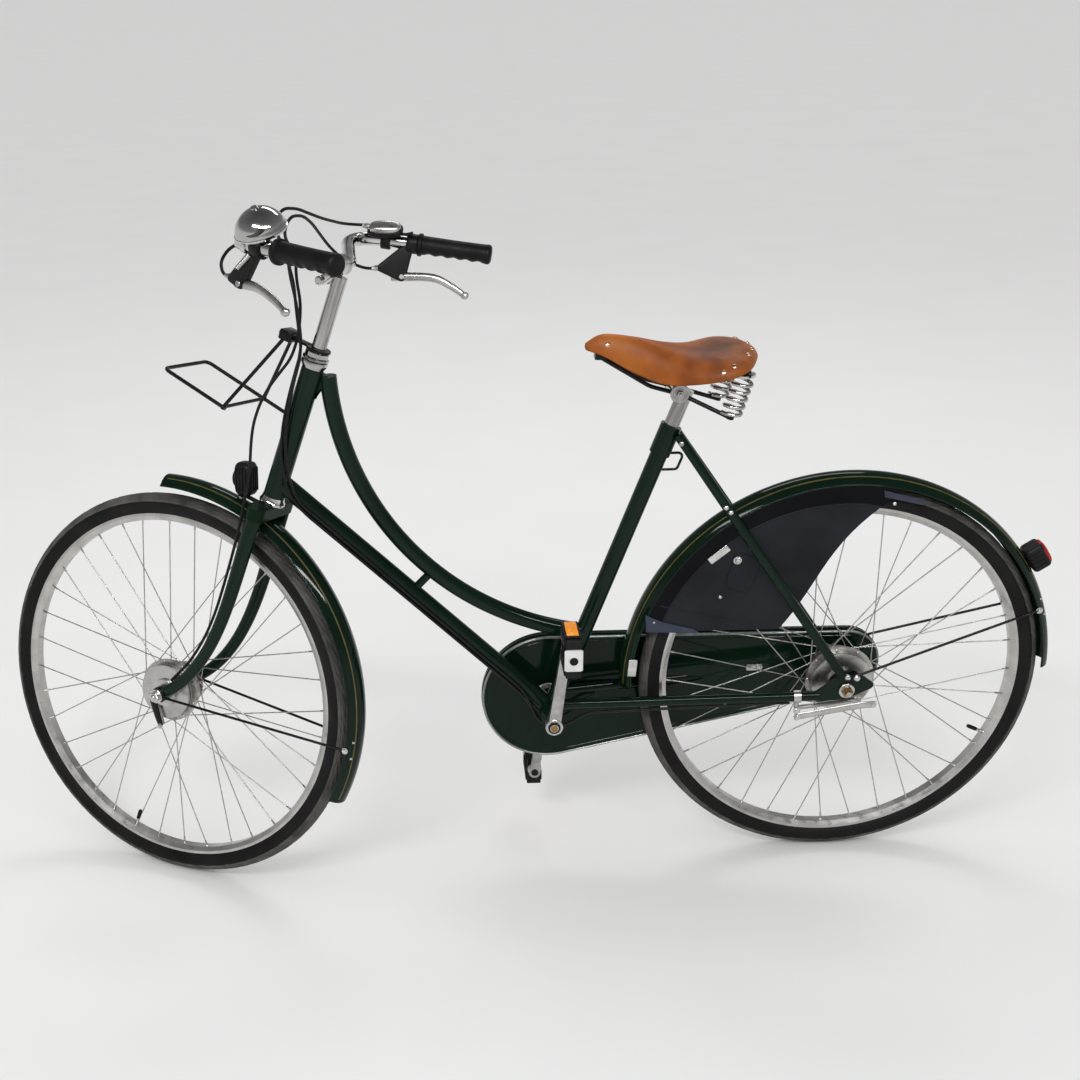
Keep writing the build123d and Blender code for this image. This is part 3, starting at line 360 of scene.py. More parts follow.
def addBlock(bm, size, base, bevel=1.0, steps=2, mat=0):
    extra = bmesh.new()
    bmesh.ops.create_cube(extra, size=1.0, matrix=base @ Matrix.Diagonal((*size, 1)))
    bmesh.ops.bevel(extra, geom=extra.edges[:], offset=bevel, segments=steps, profile=0.5, affect="EDGES")
    absorb(bm, extra, mat)


def addPlate(bm, outline, base, depth, bevel=0.5, steps=2, mat=0):
    extra = bmesh.new()
    low = [extra.verts.new(base @ Vector((u, v, 0))) for u, v in outline]
    high = [extra.verts.new(base @ Vector((u, v, depth))) for u, v in outline]
    caps = [extra.faces.new(low), extra.faces.new(high)]
    stitch(extra, low, high)
    rims = [edge for cap in caps for edge in cap.edges]
    bmesh.ops.recalc_face_normals(extra, faces=extra.faces[:])
    bmesh.ops.bevel(extra, geom=rims, offset=bevel, segments=steps, profile=0.5, affect="EDGES")
    absorb(bm, extra, mat)


def addPebble(bm, size, base, square=0.7, steps=32, mat=0):
    def power(value, exponent):
        return copysign(abs(value) ** exponent, value)
    rings = []
    for row in range(steps // 2 + 1):
        rise = pi * row / (steps // 2) - pi / 2
        wide = power(cos(rise), square)
        high = power(sin(rise), square)
        if row in (0, steps // 2):
            rings.append([bm.verts.new(base @ Vector((0, 0, high * size[2] / 2)))])
            continue
        ring = []
        for step in range(steps):
            turn = 2 * pi * step / steps
            x = power(cos(turn), square) * wide * size[0] / 2
            y = power(sin(turn), square) * wide * size[1] / 2
            ring.append(bm.verts.new(base @ Vector((x, y, high * size[2] / 2))))
        rings.append(ring)
    skin(bm, rings, mat)


def addBolt(bm, place, direction, radius=5.0, height=4.0, mat=0):
    washer = ((0, 0), (radius * 1.35, 0), (radius * 1.35, 1), (radius * 1.2, 1.3), (0, 1.3))
    addLathe(bm, washer, place, direction, 28, mat)
    head = ((0, 1), (radius, 1), (radius, height * 0.85), (radius * 0.86, height), (0, height))
    addLathe(bm, head, place, direction, 6, mat)


def addDome(bm, place, direction, radius, height, mat=0, steps=24):
    profile = [(radius, -height * 0.4)]
    for step in range(7):
        rise = pi / 2 * step / 6
        profile.append((radius * cos(rise), height * sin(rise)))
    addLathe(bm, [(0, -height * 0.4)] + profile, place, direction, steps, mat)


def discHull(discs, steps=48):
    spots = []
    for u, v, radius in discs:
        turns = [2 * pi * step / steps for step in range(steps)]
        spots += [(u + radius * cos(turn), v + radius * sin(turn)) for turn in turns]
    spots.sort()

    def halfHull(ordered):
        chain = []
        for spot in ordered:
            while len(chain) > 1:
                (ax, ay), (bx, by) = chain[-2:]
                if (bx - ax) * (spot[1] - ay) - (by - ay) * (spot[0] - ax) > 1e-6:
                    break
                chain.pop()
            chain.append(spot)
        return chain[:-1]
    return halfHull(spots) + halfHull(spots[::-1])


def smoothLine(points, count=8):
    spots = [Vector(point) for point in points]
    spots = [spots[0] * 2 - spots[1]] + spots + [spots[-1] * 2 - spots[-2]]
    line = []
    for index in range(1, len(spots) - 2):
        a, b, c, d = spots[index - 1:index + 3]
        for step in range(count):
            t = step / count
            line.append((b * 2 + (c - a) * t + (a * 2 - b * 5 + c * 4 - d) * t ** 2
                         + (b * 3 - a - c * 3 + d) * t ** 3) * 0.5)
    line.append(spots[-2])
    return line


def finishPiece(bm, name, finishNames, body, replaced=(), sharp=35):
    bmesh.ops.recalc_face_normals(bm, faces=bm.faces[:])
    bm.transform(toPart)
    if body in turnedBodies:
        bm.transform(steerTurn)
    mesh = bpy.data.meshes.new(name)
    bm.to_mesh(mesh)
    bm.free()
    for finish in finishNames:
        mesh.materials.append(finishes[finish])
    mesh.shade_smooth()
    mesh.set_sharp_from_angle(angle=radians(sharp))
    obj = bpy.data.objects.new(name, mesh)
    bpy.context.scene.collection.objects.link(obj)
    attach(obj, body)
    if replaced:
        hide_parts(*replaced)
    return obj


# Tyres with a ribbed and sliced tread, nipples, spoke heads and valves
tyre = dict(centre=329.5, section=18.5, rimRadius=317.2, seatRadius=309, seatHalf=10, around=480,
            treadSpread=72, treadStep=4, grooves=(8, 28, 52), grooveDepth=1.0, sipeDepth=0.75)
lacing = dict(perSide=18, turn=60, rimInside=301.5, tip=304.5, cross=1.2, side=2.4, lead=1.4, flangeHalf=1.8,
              front=((20, 52), (-27, 33)), rear=((20, 56), (-27, 38)),
              nipple=((0, 1), (2.7, 1), (2.7, 2.8), (1.9, 3.2), (1.6, 12), (1.1, 13.5), (0, 13.5)))
valve = dict(front=290, rear=205, length=30)


def treadDepth(angle, step):
    lean = abs(angle)
    if lean > tyre["treadSpread"]:
        return -0.4 if 82 <= lean <= 92 or lean > 122 else 0.0
    if lean in tyre["grooves"]:
        return tyre["grooveDepth"]
    if lean < tyre["grooves"][0]:
        return tyre["sipeDepth"] * 0.6 if step % 8 == 0 else 0.0
    slant = step + int(angle / tyre["treadStep"])
    return tyre["sipeDepth"] if slant % 6 < 2 else 0.0


def makeTyre(wheelName, hub):
    bm = bmesh.new()
    limit = degrees(acos((tyre["rimRadius"] - tyre["centre"]) / tyre["section"]))
    spread = tyre["treadSpread"]
    flank = [spread + (limit - spread) * step / 10 for step in range(1, 11)]
    angles = [-a for a in reversed(flank)] + list(range(-spread, spread + 1, tyre["treadStep"])) + flank
    rings = []
    for step in range(tyre["around"]):
        turn = 2 * pi * step / tyre["around"]
        out = wheelward(turn)
        ring = [bm.verts.new(hub + out * tyre["seatRadius"] - sideways(tyre["seatHalf"]))]
        for angle in angles:
            reach = tyre["section"] - treadDepth(angle, step)
            lean = radians(angle)
            radius = tyre["centre"] + reach * cos(lean)
            ring.append(bm.verts.new(hub + out * radius + Vector((0, reach * sin(lean), 0))))
        ring.append(bm.verts.new(hub + out * tyre["seatRadius"] + sideways(tyre["seatHalf"])))
        rings.append(ring)
    for low, high in zip(rings, rings[1:] + rings[:1]):
        for first in range(len(low)):
            second = (first + 1) % len(low)
            face = bm.faces.new((low[first], low[second], high[second], high[first]))
            face.material_index = 1 if 11 <= first < len(angles) - 10 else 0
    finishPiece(bm, wheelName + "TyreTread", ("sidewallRubber", "treadRubber"), wheelName + "_wheel",
                (wheelName + "_tyre",), 30)


def spokeEnds(flanges, hub):
    step = 2 * pi / lacing["perSide"]
    for side, (flangeY, flangeRadius) in zip((1, -1), flanges):
        for index in range(lacing["perSide"]):
            lead = 1 if index % 2 else -1
            hubTurn = index * step + (0 if side > 0 else step / 2)
            rimTurn = hubTurn + radians(lead * lacing["turn"])
            foot = Vector((flangeRadius * cos(hubTurn), flangeY + lead * lacing["cross"],
                           flangeRadius * sin(hubTurn)))
            tip = Vector((lacing["tip"] * cos(rimTurn), side * lacing["side"] + lead * lacing["lead"],
                          lacing["tip"] * sin(rimTurn)))
            yield lead, flangeY, hub + foot, hub + tip


def makeLacing(wheelName, hub):
    bm = bmesh.new()
    for lead, flangeY, foot, tip in spokeEnds(lacing[wheelName], hub):
        inward = (foot - tip).normalized()
        addLathe(bm, lacing["nipple"], tip, inward, 8, 0)
        head = Vector((foot.x, flangeY - lead * lacing["flangeHalf"], foot.z))
        addDome(bm, head, (0, -lead, 0), 2.3, 1.5, 0, 10)
        addTube(bm, (head, foot + (tip - foot).normalized() * 4), 1.25, 8, 0)
    turn = radians(valve[wheelName])
    out = wheelward(turn)
    stem = ((0, -2), (4.2, -2), (4.2, 2), (2.8, 2.5), (2.8, 14), (0, 14))
    cap = ((0, 12), (3.4, 12), (3.6, 14), (3.6, 27), (2.8, valve["length"]), (0, valve["length"]))
    addLathe(bm, stem, hub + out * lacing["rimInside"], -out, 20, 0)
    addLathe(bm, cap, hub + out * lacing["rimInside"], -out, 20, 1)
    finishPiece(bm, wheelName + "Nipples", ("zincBolt", "gripRubber"), wheelName + "_wheel")


for wheelName, hub in (("front", frontHub), ("rear", rearHub)):
    makeTyre(wheelName, hub)
    makeLacing(wheelName, hub)
print("wheels made")


# Gold coach lines and bolts on the mudguards
guards = dict(centre=346, section=29, edge=64, lineAngle=34, lineWidth=2.5, lineProud=0.25,
              front=dict(place=frontHub + Vector((0, 0, 7)), span=(90.5, 206.5), stay=190,
                         body="steering"),
              rear=dict(place=rearHub + Vector((8, 0, -1)), span=(-1, 178), stay=160, body="frame"))


def guardSpot(guard, angle, lean, reach):
    turn = radians(angle)
    radius = guards["centre"] + reach * cos(radians(lean))
    y = reach * sin(radians(lean))
    return guard["place"] + Vector((radius * cos(turn), y, radius * sin(turn)))


def makeCoachLines(name):
    guard = guards[name]
    bm = bmesh.new()
    half = degrees(guards["lineWidth"] / 2 / guards["section"])
    start, end = guard["span"]
    for side in (1, -1):
        rings = []
        for step in range(161):
            angle = start + 1.2 + (end - start - 2.4) * step / 160
            ring = []
            for lean, lift in ((-half, -0.5), (half, -0.5), (half, guards["lineProud"]),
                               (-half, guards["lineProud"])):
                turn = side * (guards["lineAngle"] + lean)
                ring.append(bm.verts.new(guardSpot(guard, angle, turn, guards["section"] + lift)))
            rings.append(ring)
        skin(bm, rings)
        bm.faces.new(rings[0])
        bm.faces.new(rings[-1])
    finishPiece(bm, name + "CoachLines", ("goldLine",), guard["body"])
    bm = bmesh.new()
    for side in (1, -1):
        spot = guardSpot(guard, guard["stay"], side * guards["edge"], guards["section"])
        addBolt(bm, spot + sideways(side * 2), (0, side, 0), 4.2, 4.5)
        for step in (-14, 14):
            rivet = guardSpot(guard, guard["stay"] + step / 6, side * 40, guards["section"])
            out = rivet - guardSpot(guard, guard["stay"] + step / 6, 0, 0)
            addDome(bm, rivet, out, 2.4, 1.2)
    finishPiece(bm, name + "GuardBolts", ("zincBolt",), guard["body"])


for guardName in ("front", "rear"):
    makeCoachLines(guardName)
print("mudguards trimmed")


# Saddle: a thick hide over the cantle and the nose, with rivets, worn dark where it is sat on
saddle = dict(
    seat=Vector((285.2463, 0, 948.1524)), square=2.0, tuck=0.05, thick=0.0045, across=44, stations=9,
    # ahead, half width, top, edge
    sections=((168, 3, -3, -7), (165, 8, 2, -10), (139, 19, 14, -18), (89, 28, 8, -45), (45, 54, -2, -57),
              (0, 86, -8, -50), (-45, 101, -3, -40), (-79, 84, -6, -31), (-99, 40, -14, -23),
              (-103, 10, -18, -21)),
    rivets=((420, 16, 948.5), (252, 100, 924), (230, 92, 936), (203, 55, 940), (190, 18, 938)),
    wornCentre=(-0.042, 0.022, 0.0), wornReach=(0.115, 0.130, 0.4),
    wornColour=(0.062, 0.027, 0.018, 1), wornBlot=0.55,
    wornStops=((0.36, (0.84, 0.84, 0.84)), (0.58, (0.50, 0.50, 0.50)), (0.86, (0, 0, 0))),
    tanStops=((0.28, (0.185, 0.043, 0.0056)), (0.5, (0.335, 0.089, 0.0105)), (0.74, (0.48, 0.152, 0.023))),
    edgeStops=((0.3, (0.05, 0.02, 0.008)), (0.7, (0.12, 0.05, 0.018))))
spring = dict(foot=(-59, 54, -106.9), lean=-0.3, coil=15, wire=3.2, turns=5, height=58,
              cantle=(-84, 72, -16, -44), cantleThick=6, seatPlate=18)


def makeLeather():
    tree, shader = newFinish("tanLeather", {"Specular IOR Level": 0.2})
    tan = ramp(tree, texture(tree, "Noise", 13, Detail=6.0), saddle["tanStops"])
    scale = [1 / reach for reach in saddle["wornReach"]]
    shift = [-c * s for c, s in zip(saddle["wornCentre"], scale)]
    place = addNode(tree, "TexCoord")
    mapping = addNode(tree, "Mapping", {"Scale": scale, "Location": shift})
    reach = addNode(tree, "VectorMath")
    reach.operation = "LENGTH"
    blot = addNode(tree, "Math", {1: saddle["wornBlot"]})
    blot.operation = "MULTIPLY_ADD"
    tree.links.new(place.outputs["Object"], mapping.inputs["Vector"])
    tree.links.new(mapping.outputs["Vector"], reach.inputs[0])
    tree.links.new(texture(tree, "Noise", 45, Detail=5.0), blot.inputs[0])
    tree.links.new(reach.outputs["Value"], blot.inputs[2])
    mask = ramp(tree, blot.outputs[0], saddle["wornStops"])
    mix = addNode(tree, "MixRGB", {"Color2": saddle["wornColour"]})
    tree.links.new(mask, mix.inputs["Fac"])
    tree.links.new(tan, mix.inputs["Color1"])
    tree.links.new(mix.outputs["Color"], shader.inputs["Base Color"])
    gloss(tree, shader, texture(tree, "Noise", 30, Detail=4.0), 0.34, 0.52)
    relief(tree, shader, texture(tree, "Voronoi", 1100), 0.30, 0.0004)
    tree, shader = newFinish("leatherEdge", {"Roughness": 0.6})
    edge = ramp(tree, texture(tree, "Noise", 60, Detail=4.0), saddle["edgeStops"])
    tree.links.new(edge, shader.inputs["Base Color"])
    relief(tree, shader, texture(tree, "Noise", 900), 0.3, 0.0004)


def saddleRow(section):
    ahead, half, top, edge = section
    row = []
    for step in range(saddle["across"] + 1):
        lean = pi * (step / saddle["across"] - 0.5)
        wide = copysign(abs(sin(lean)) ** (2 / saddle["square"]), lean)
        high = max(cos(lean), 0) ** (2 / saddle["square"])
        y = half * wide * (1 - saddle["tuck"] * (1 - high) ** 2)
        row.append(saddle["seat"] + Vector((ahead, y, edge + (top - edge) * high)))
    return row


def makeSaddle():
    bm = bmesh.new()
    rows = [saddleRow(section) for section in smoothLine(saddle["sections"], saddle["stations"])]
    rings = [[bm.verts.new(spot) for spot in row] for row in rows]
    skin(bm, rings, 0, False)
    hide = finishPiece(bm, "saddleHide", ("tanLeather", "leatherEdge"), "frame",
                       ("saddle_leather",), 60)
    crown = max(hide.data.polygons, key=lambda face: face.center.z)
    if crown.normal.z < 0:
        hide.data.flip_normals()
    solid = hide.modifiers.new("hideThickness", "SOLIDIFY")
    solid.thickness = saddle["thick"]
    solid.offset = -1
    solid.material_offset_rim = 1
    rivets = bmesh.new()
    for x, y, z in saddle["rivets"]:
        for side in (1, -1):
            target = Vector((x, side * y, z))
            gaps = [min((spot - target).length for spot in row) for row in rows[1:-1]]
            rowIndex = gaps.index(min(gaps)) + 1
            row = rows[rowIndex]
            spotIndex = min(range(1, len(row) - 1), key=lambda i: (row[i] - target).length)
            along = rows[rowIndex - 1][spotIndex] - rows[rowIndex + 1][spotIndex]
            over = row[spotIndex + 1] - row[spotIndex - 1]
            out = along.cross(over)
            out = out if out.dot(Vector((0, side, 0.5))) > 0 else -out
            addDome(rivets, row[spotIndex], out, 4.6, 2.4, 0, 24)
    finishPiece(rivets, "saddleRivets", ("copperRivet",), "frame")


def makeSprings():
    coils = bmesh.new()
    cantle = bmesh.new()
    x, y, z = spring["foot"]
    up = Vector((spring["lean"], 0, 1)).normalized()
    ahead = up.cross(sideways(-1))
    count = spring["turns"] * 26
    for side in (1, -1):
        foot = saddle["seat"] + Vector((x, side * y, z))
        path = []
        for step in range(count + 1):
            turn = 2 * pi * spring["turns"] * step / count
            rise = up * spring["height"] / up.z * step / count
            around = ahead * cos(turn) + sideways(1) * sin(turn)
            path.append(foot + rise + around * spring["coil"])
        addTube(coils, path, spring["wire"], 12, 0, 1.0, up)
        top = foot + up * spring["height"] / up.z
        plate = spring["seatPlate"]
        addLathe(cantle, ((0, 3), (plate, 3), (plate, 7), (0, 8)), top, (0, 0, 1), 40, 1)
        addBolt(cantle, top + Vector((0, 0, 3)), (0, 0, -1), 5, 5, 1)
        addLathe(cantle, ((0, -8), (6, -8), (7, -7), (7, 2), (0, 2)), foot, up, 28, 0)
    ahead, half, top, low = spring["cantle"]
    turns = [pi * step / 24 for step in range(25)]
    arch = [(half * cos(turn), low + (top - low) * sin(turn)) for turn in turns]
    base = moved(saddle["seat"] + Vector((ahead, 0, 0)))
    base = base @ Matrix(((0, 0, 1, 0), (1, 0, 0, 0), (0, 1, 0, 0), (0, 0, 0, 1)))
    addPlate(cantle, arch, base, spring["cantleThick"], 1.2, 2, 0)
    finishPiece(coils, "saddleCoils", ("chromePlate",), "frame", ("saddle_springs",), 60)
    finishPiece(cantle, "saddleCantlePlate", ("blackEnamel", "zincBolt"), "frame",
                ("saddle_cantle",))


# Saddle clamp discs and the bolts of the seat cluster
clamp = dict(place=(304.2, 30, 870.2), disc=15.5, lugBolts=((296.5, 25, 785.5), (284, 25, 771)))


def makeSeatCluster():
    bm = bmesh.new()
    x, y, z = clamp["place"]
    disc = clamp["disc"]
    for side in (1, -1):
        face = ((0, -1), (disc, -1), (disc, 2.2), (disc - 1, 3.2), (disc - 4, 3.2), (disc - 4.6, 2.6),
                (9, 2.6), (8.4, 3.2), (0, 3.2))
        addLathe(bm, face, (x, side * y, z), (0, side, 0), 40)
        addLathe(bm, puck(6.4, 3, 8.4, 0.8, 1), (x, side * y, z), (0, side, 0), 6)
        addLathe(bm, puck(3, 8, 11.3, 0.8, 0.8), (x, side * y, z), (0, side, 0), 20)
        for boltX, boltY, boltZ in clamp["lugBolts"]:
            addDome(bm, (boltX, side * boltY, boltZ), (0.1, side, 0.15), 5, 3.6)
    finishPiece(bm, "seatClusterBolts", ("castAlloy",), "frame")


makeLeather()
makeSaddle()
makeSprings()
makeSeatCluster()
print("saddle made")


# Handlebar: grips with finger ridges, lever clamps, bell and shifter
barForm = dict(clamp=onAxis(801, 6), tip=Vector((-137, 265, 16)), outer=Vector((89, 192, 46)))
grip = dict(start=4, end=108, ridgePitch=20.8, ridgeDepth=2.3, sides=44,
            butt=((-6, 0.5), (-6, 10), (-5.2, 13), (-3.4, 15.2), (-1, 16.2), (2, 16.2)), radius=15.6,
            flange=((110, 15.8), (111.5, 18.6), (116, 18.8), (117.6, 17.8), (118, 15), (118, 11.3)))


def onBar(distance, side):
    line = (barForm["outer"] - barForm["tip"]).normalized()
    spot = barForm["clamp"] + barForm["tip"] + line * distance
    return Vector((spot.x, side * spot.y, spot.z))


def barLine(side):
    return (onBar(1, side) - onBar(0, side)).normalized()


def makeGrips():
    bm = bmesh.new()
    for side in (1, -1):
        line = barLine(side)
        down = Vector((0, 0, -1)) - line * -line.z
        down.normalize()
        across = line.cross(down)
        profile = list(grip["butt"])
        steps = int((grip["end"] - grip["start"]) / 1.3)
        for step in range(steps + 1):
            radius = grip["radius"] - 0.5 * sin(pi * step / steps)
            profile.append((grip["start"] + 1.3 * step, radius))
        profile += grip["flange"]
        rings = []
        for distance, radius in profile:
            ring = []
            for index in range(grip["sides"]):
                turn = 2 * pi * index / grip["sides"]
                reach = radius
                if grip["start"] < distance < grip["end"]:
                    along = 2 * pi * (distance - grip["start"])
                    wave = 0.5 - 0.5 * cos(along / grip["ridgePitch"])
                    reach -= grip["ridgeDepth"] * wave * max(0, cos(turn)) ** 1.4
                    reach += 0.16 if index % 2 else -0.16
                spot = onBar(distance, side) + (down * cos(turn) + across * sin(turn)) * reach
                ring.append(bm.verts.new(spot))
            rings.append(ring)
        skin(bm, rings)
        bm.faces.new(rings[0])
    finishPiece(bm, "barGrips", ("gripRubber",), "steering", ("grips",), 45)


# side, distance up the bar, then cable nose, pivot, finger bend and tip from the clamp,
# and the cable's first point
leverRows = (
    (1, 155, (54, -12, -44), (37, -8, -51), (5, 2, -56), (-54, 26, -86), (84, 200, -4)),
    (-1, 127, (46, -30, -39), (16, -12, -53), (-38, -4, -54), (-90, 12, -82), (46, -176, -8)),
)
levers = dict(thick=15, clampRing=band(11.3, 16.2, 9, 1.2, 1.5),
              adjuster=((0, -5), (4.4, -5), (4.4, 2), (3.5, 2.6), (3.5, 6), (4.8, 6.4), (4.8, 10),
                        (3.6, 10.8), (3.2, 15), (2.8, 17), (0, 17)))


def makeLevers():
    brackets = bmesh.new()
    blades = bmesh.new()
    for side, distance, nose, pivot, bend, tip, cableStart in leverRows:
        place = onBar(distance, side)
        nose, pivot, bend, tip = [place + Vector((x, side * y, z)) for x, y, z in (nose, pivot, bend, tip)]
        line = barLine(side)
        addLathe(brackets, levers["clampRing"], place, line, 40, 0, True)
        out = (nose - place).normalized()
        normal = out.cross(pivot - place).normalized()
        rise = normal.cross(out)
        base = Matrix((out, rise, normal)).transposed().to_4x4()
        base = moved(place - normal * levers["thick"] / 2) @ base
        discs = [((spot - place).dot(out), (spot - place).dot(rise), radius)
                 for spot, radius in ((place + out * 9, 8), (nose, 6), (pivot, 8))]
        addPlate(brackets, discHull(discs, 32), base, levers["thick"], 3.4, 4)
        for face in (1, -1):
            addLathe(blades, ((0, 0), (4.4, 0), (4.4, 1.6), (3.8, 2.2), (1.6, 2.2), (1.4, 1.4), (0, 1.4)),
                     pivot + normal * face * levers["thick"] / 2, normal * face, 24)
        start = barForm["clamp"] + Vector(cableStart)
        addLathe(blades, levers["adjuster"], nose, start - nose, 24)
        ribs = [(3.2 + (0.9 if step % 2 else 0), step * 1.6) for step in range(20)]
        addLathe(blades, [(0, 0)] + ribs + [(0, 31)], place + out * 16 + normal * side * 9, out, 24)
        arch = bend.lerp(tip, 0.55) + Vector((0, 0, 3))
        path = smoothLine((pivot + (pivot - bend) * 0.3, pivot, bend, arch, tip), 9)
        radii = [8.4 - 3.2 * step / (len(path) - 1) for step in range(len(path))]
        addTube(blades, path, radii, 18, 0, 0.78, (0, 1, 0))
        addPebble(blades, (15, 12, 13), at(tip), 0.95, 20)
    finishPiece(brackets, "leverBrackets", ("blackPlastic",), "steering",
                ("brake_brackets",), 40)
    finishPiece(blades, "leverBlades", ("satinAlloy",), "steering", ("brake_levers",), 40)


bell = dict(bar=181, foot=(-18, -6, 21), lean=(0.05, 0.45, 0.9), ball=39.5, sink=-6.5, start=11,
            lip=((0, -2), (35, -2), (36, -3), (39.2, -3), (40, -1.4), (39.8, 0.4), (39, 1)),
            nut=((6, 32.2), (6, 34), (4.6, 35.2), (0, 35.4)),
            thumb=((4, 32, -9), (-8, 40, -9), (-20, 45, -6), (-29, 46, 0)),
            cup=((0, -9), (14, -9), (28, -6), (33, -3.4), (33, -1), (0, -1)))


def makeBell():
    bm = bmesh.new()
    bar = onBar(bell["bar"], 1)
    foot = bar + Vector(bell["foot"])
    profile = list(bell["lip"])
    for step in range(20):
        rise = radians(bell["start"] + 3.6 * step)
        shell = bell["ball"] - (0.5 if step in (2, 3) else 0)
        profile.append((shell * cos(rise), bell["sink"] + shell * sin(rise)))
    addLathe(bm, profile + list(bell["nut"]), foot, bell["lean"], 56)
    addLathe(bm, bell["cup"], foot, bell["lean"], 48, 1)
    addTube(bm, (bar, bar.lerp(foot, 0.6), foot - Vector(bell["lean"]) * 4), (6.5, 6, 7), 16, 0)
    addLathe(bm, band(11.3, 13.8, 5, 0.6, 1), bar, barLine(1), 40, 0, True)
    thumb = smoothLine([foot + Vector(spot) for spot in bell["thumb"]], 6)
    addTube(bm, thumb, [2.2 + 0.22 * step for step in range(len(thumb))], 14, 1, 0.5)
    finishPiece(bm, "bellDome", ("chromePlate", "darkSteel"), "steering", ("bell",), 32)


shifter = dict(bar=172, rise=24, tilt=-38, base=(60, 30, 14), cap=(54, 27, 17),
               lever=((18, -4, -6), (34, -3, -5), (46, -2, -1)))


def makeShifter():
    bm = bmesh.new()
    bar = onBar(shifter["bar"], -1)
    line = barLine(-1)
    heading = atan2(line.y, line.x)
    turn = Matrix.Rotation(heading, 4, "Z") @ Matrix.Rotation(radians(shifter["tilt"]), 4, "X")
    up = turn @ Vector((0, 0, 1))
    centre = bar + up * shifter["rise"]
    addPebble(bm, shifter["base"], moved(centre - up * 4) @ turn, 0.6, 40, 1)
    addPebble(bm, shifter["cap"], moved(centre + up * 2) @ turn, 0.75, 40, 0)
    addTube(bm, (bar + up * 8, centre - up * 4), (11, 10), 20, 1)
    addLathe(bm, band(11.3, 14.8, 8, 0.8, 1), bar, line, 40, 1, True)
    nose = centre + line * 30
    addLathe(bm, ((0, -6), (4.6, -6), (4.6, 2), (3.8, 3), (3.4, 8), (0, 8)), nose, line, 20, 0)
    lever = [centre - line * far + Vector((0, y, z)) for far, y, z in shifter["lever"]]
    addTube(bm, smoothLine(lever, 5), [5.5 - 0.12 * step for step in range(11)], 16, 1, 0.55)
    collar = onBar(shifter["bar"] - 40, -1)
    addLathe(bm, band(11.3, 14, 5, 0.4, 1), collar, line, 36, 1, True)
    finishPiece(bm, "shifterPod", ("satinAlloy", "blackPlastic"), "steering",
                ("gear_shifter",), 40)


# Headset rings, the stem's binder and the locknut
headset = dict(lower=((15.8, 398.6), (21, 398.6), (21.9, 400), (21.9, 403.5), (20.4, 405.5), (19.4, 409),
                      (18.7, 412.4), (15.8, 412.4)),
               upper=((15.8, 639.4), (18.8, 639.4), (19.6, 641.5), (21.6, 645.5), (22, 649), (21.2, 651.6),
                      (15.8, 651.6)),
               cone=((14.2, 653.2), (21, 653.2), (22, 654.6), (21.4, 657), (19, 658.4), (14.2, 658.4)),
               nut=((14.2, 659), (20.6, 659), (20.6, 665.6), (19.2, 667.4), (14.2, 667.4)),
               binder=(24, 0, -15), binderSize=(26, 20, 13), binderSlope=35)


def makeHeadset():
    bm = bmesh.new()
    foot = onAxis(0)
    addLathe(bm, headset["lower"], foot, axisUp, 48, 0, True)
    addLathe(bm, headset["upper"], foot, axisUp, 48, 0, True)
    finishPiece(bm, "headsetRings", ("chromePlate",), "frame", ("headset_cups",), 28)
    bm = bmesh.new()
    addLathe(bm, headset["cone"], foot, axisUp, 48, 0, True)
    addLathe(bm, headset["nut"], foot, axisUp, 8, 0, True)
    finishPiece(bm, "headsetLocknut", ("chromePlate",), "steering", ("headset_nut",), 28)
    bm = bmesh.new()
    binder = barForm["clamp"] + Vector(headset["binder"])
    slope = Matrix.Rotation(radians(headset["binderSlope"]), 4, "Y")
    addBlock(bm, headset["binderSize"], moved(binder) @ slope, 4, 4)
    addLathe(bm, ((0, -14), (5, -14), (5, 14), (0, 14)), binder + Vector((5, 0, -4)), (0, 1, 0), 24)
    addBolt(bm, binder + Vector((5, 13, -4)), (0, 1, 0), 5.4, 5)
    addBolt(bm, binder + Vector((5, -13, -4)), (0, -1, 0), 5.4, 5)
    finishPiece(bm, "stemBinder", ("chromePlate",), "steering")


# Wire carrier: rise above the locknut and distance ahead of the steering axis
rack = dict(strap=667.4, half=63, front=(-118, 223), back=(-133, 101), tail=(-139, 56), wire=3.2,
            bend=12, uprightY=12, block=(24, 34, 17), blockAt=(3.5, 55), boltY=9, strapStart=13,
            washer=((12.2, 0), (20, 0), (20.5, 0.6), (20.5, 3.4), (20, 4), (12.2, 4)))


def carrierSpot(place, side):
    return onAxis(rack["strap"] + place[0], place[1], side * rack["half"])


def roundCorner(before, corner, after, reach):
    start = corner + (before - corner).normalized() * reach
    end = corner + (after - corner).normalized() * reach
    return [start.lerp(corner, step / 6).lerp(corner.lerp(end, step / 6), step / 6) for step in range(7)]


